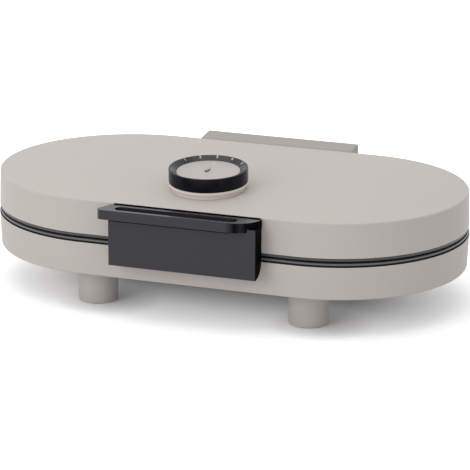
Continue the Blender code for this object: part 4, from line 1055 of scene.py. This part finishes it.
def dial_cap():
    radius, high, low = 27.85, 15.6, 14.5
    profile = [
        (0, 13.8), (8.0, 13.8), (8.0, 6.6), (9.4, 6.6),
        (9.4, low), (radius, low), (radius, high, 0.3), (0, high),
    ]
    made = turned("dial_face", profile, steps=DIAL_STEPS)
    cut(made, prism("window_pocket", capsule(4.05, 1.75), 14.9, 17))
    return settle(soften(made, 0.15, 2, 60), DIAL_PLACE)


def window():
    top = 16.5
    made = prism("lamp_window", capsule(WINDOW_HALF_LENGTH, 1.6), 14.7, top)
    edit(made, "FACE")
    choose(level(top), "faces")
    bpy.ops.mesh.inset(thickness=0.2 * MM, depth=0.15 * MM)
    bpy.ops.mesh.inset(thickness=0.4 * MM, depth=0.06 * MM)
    deselect()
    return settle(made, DIAL_PLACE)


def pointer():
    """The printed mark on the disc that the numbers are set against."""
    turn, reach = math.radians(-5.0), 18.8
    spot = (reach * math.sin(turn), reach * math.cos(turn))
    made = prism("dial_pointer", arc(spot, 1.25, 0, FULL_TURN * 31 / 32, 31), 15.55, 15.63)
    return settle(made, DIAL_PLACE)


dress(dial_collar(), "lid", "body", COLLAR_PAINTED_LIGHT_GREIGE, "dial_collar")
ring = dress(dial_ring(), "dial", "dial_black", BLACK, "dial_ring")
repaint(ring, BEVEL, lambda f: 0.80 < f.normal.dot(UP) < 0.90)
dress(dial_numbers(), "dial", "dial_disc", PRINT)
dress(dial_cap(), "lid", "dial_disc", DISC, "dial_cap")
dress(pointer(), "lid", "dial_disc", PRINT)
lens = dress(window(), "lid", "window", AMBER, "indicator_lens")
# The window's sides take the dark brown, painted shade.
repaint(lens, WINDOW_SIDE_PAINTED_SHADE, lambda f: f.normal.dot(UP) < 0.5)


# Finishes of the pieces that stay as they are packed

KEPT = {
    SHEATH: [
        "heating_element_lower_left", "heating_element_lower_right",
        "heating_element_upper_left", "heating_element_upper_right",
    ],
    SHEET: ["heat_shield_lower", "heat_shield_upper"],
    NYLON: ["terminal_block", "hinge_bush_left", "hinge_bush_right", "dial_pinion"],
    ZINC: ["thermal_fuse", "handle_screw_left", "handle_screw_right", "thermostat_spindle"],
    DARK: ["thermostat_body"],
    GLASS: ["indicator_lamp"],
}
for finish, names in KEPT.items():
    for name in names:
        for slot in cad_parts[name].material_slots:
            slot.material = finish


# Studio


def stage_floor():
    """A floor that glows white where it is seen directly, with the glow held back round the body's
    long axis and at the feet as a painted shadow.
    """
    deselect()
    bpy.ops.mesh.primitive_circle_add(vertices=96, radius=5.0, fill_type="NGON")
    floor = bpy.context.object
    floor.name = "studio_floor"
    finish = Finish("studio_floor", Roughness=0.9, Specular_IOR_Level=0.0)
    x, y, _ = finish.axes()
    shadow_middle = 12.0
    shifted = abs(x - shadow_middle * MM)
    beside = finish.add("Math", {"operation": "MAXIMUM"}, shifted - LOBE * MM, 0.0)
    away = (beside * beside + y * y) ** 0.5
    foot_x, foot_y = shifted - FOOT_X * MM, abs(y) - FOOT_Y * MM
    from_foot = (foot_x * foot_x + foot_y * foot_y) ** 0.5
    # Painted shadow: the glow fades out near the body's long axis and near the feet.
    painted_floor_light = finish.clamped(0.045 + 3.47 * away) * finish.clamped(0.1 + 19.0 * from_foot)
    grain = finish.noise(40.0, 2.0)
    finish.set(
        Base_Color=finish.blend(grain, (0.77, 0.77, 0.77), (0.79, 0.79, 0.79)),
        Emission_Color=finish.seen_directly() * painted_floor_light,
        Emission_Strength=1.0,
    )
    floor.data.materials.append(finish.material)


def studio_world():
    """An even light, which is plain white where it is seen directly."""
    world = bpy.data.worlds.new("studio")
    world.use_nodes = True
    bpy.context.scene.world = world
    nodes, links = world.node_tree.nodes, world.node_tree.links
    nodes.clear()
    rays = nodes.new("ShaderNodeLightPath").outputs
    seen = rays[SEEN_RAYS[0]]
    for ray in SEEN_RAYS[1:]:
        either = nodes.new("ShaderNodeMath")
        either.operation = "MAXIMUM"
        links.new(seen, either.inputs[0])
        links.new(rays[ray], either.inputs[1])
        seen = either.outputs[0]
    mix = nodes.new("ShaderNodeMixShader")
    links.new(seen, mix.inputs[0])
    light, white = ((0.97, 0.985, 1.0), 0.63), ((1.0, 1.0, 1.0), 1.0)
    for socket, (colour, strength) in zip(mix.inputs[1:], (light, white)):
        background = nodes.new("ShaderNodeBackground")
        background.inputs["Color"].default_value = (*colour, 1.0)
        background.inputs["Strength"].default_value = strength
        links.new(background.outputs[0], socket)
    links.new(mix.outputs[0], nodes.new("ShaderNodeOutputWorld").inputs[0])


def softbox(name, place, size, power):
    """An area lamp that faces the body's middle."""
    target = Vector((0.0, 0.0, 0.06))
    light = bpy.data.lights.new(name, "AREA")
    light.shape = "RECTANGLE"
    light.size, light.size_y = size
    light.energy = power
    lamp = bpy.data.objects.new(name, light)
    bpy.context.scene.collection.objects.link(lamp)
    lamp.location = place
    lamp.rotation_euler = (target - Vector(place)).to_track_quat("-Z", "Y").to_euler()


def camera():
    """The camera that was fitted to the outline in the photograph."""
    azimuth, elevation, roll = (math.radians(a) for a in (19.82, 16.47, 0.27))
    distance, aim = 2.58, Vector((0.00305, 0, 0.0482))
    focal_pixels, picture_pixels, sensor = 2883, 470, 36
    flat = math.cos(elevation)
    back = Vector((math.sin(azimuth) * flat, -math.cos(azimuth) * flat, math.sin(elevation)))
    right = Vector((math.cos(azimuth), math.sin(azimuth), 0))
    up = back.cross(right)
    across = math.cos(roll) * right + math.sin(roll) * up
    upward = math.cos(roll) * up - math.sin(roll) * right
    data = bpy.data.cameras.new("photo_camera")
    data.sensor_width = sensor
    data.lens = focal_pixels * sensor / picture_pixels
    data.clip_end = 50
    view = bpy.data.objects.new("photo_camera", data)
    bpy.context.scene.collection.objects.link(view)
    turn = Matrix((across, upward, back)).transposed().to_4x4()
    view.matrix_world = Matrix.Translation(aim + distance * back) @ turn
    bpy.context.scene.camera = view


stage_floor()
studio_world()
softbox("key", (-0.25, -0.15, 2.2), (2.2, 2.2), 17.5)
softbox("fill", (-0.90, -1.95, 0.80), (1.0, 1.0), 10.0)
camera()
bpy.context.scene.view_settings.view_transform = "Standard"
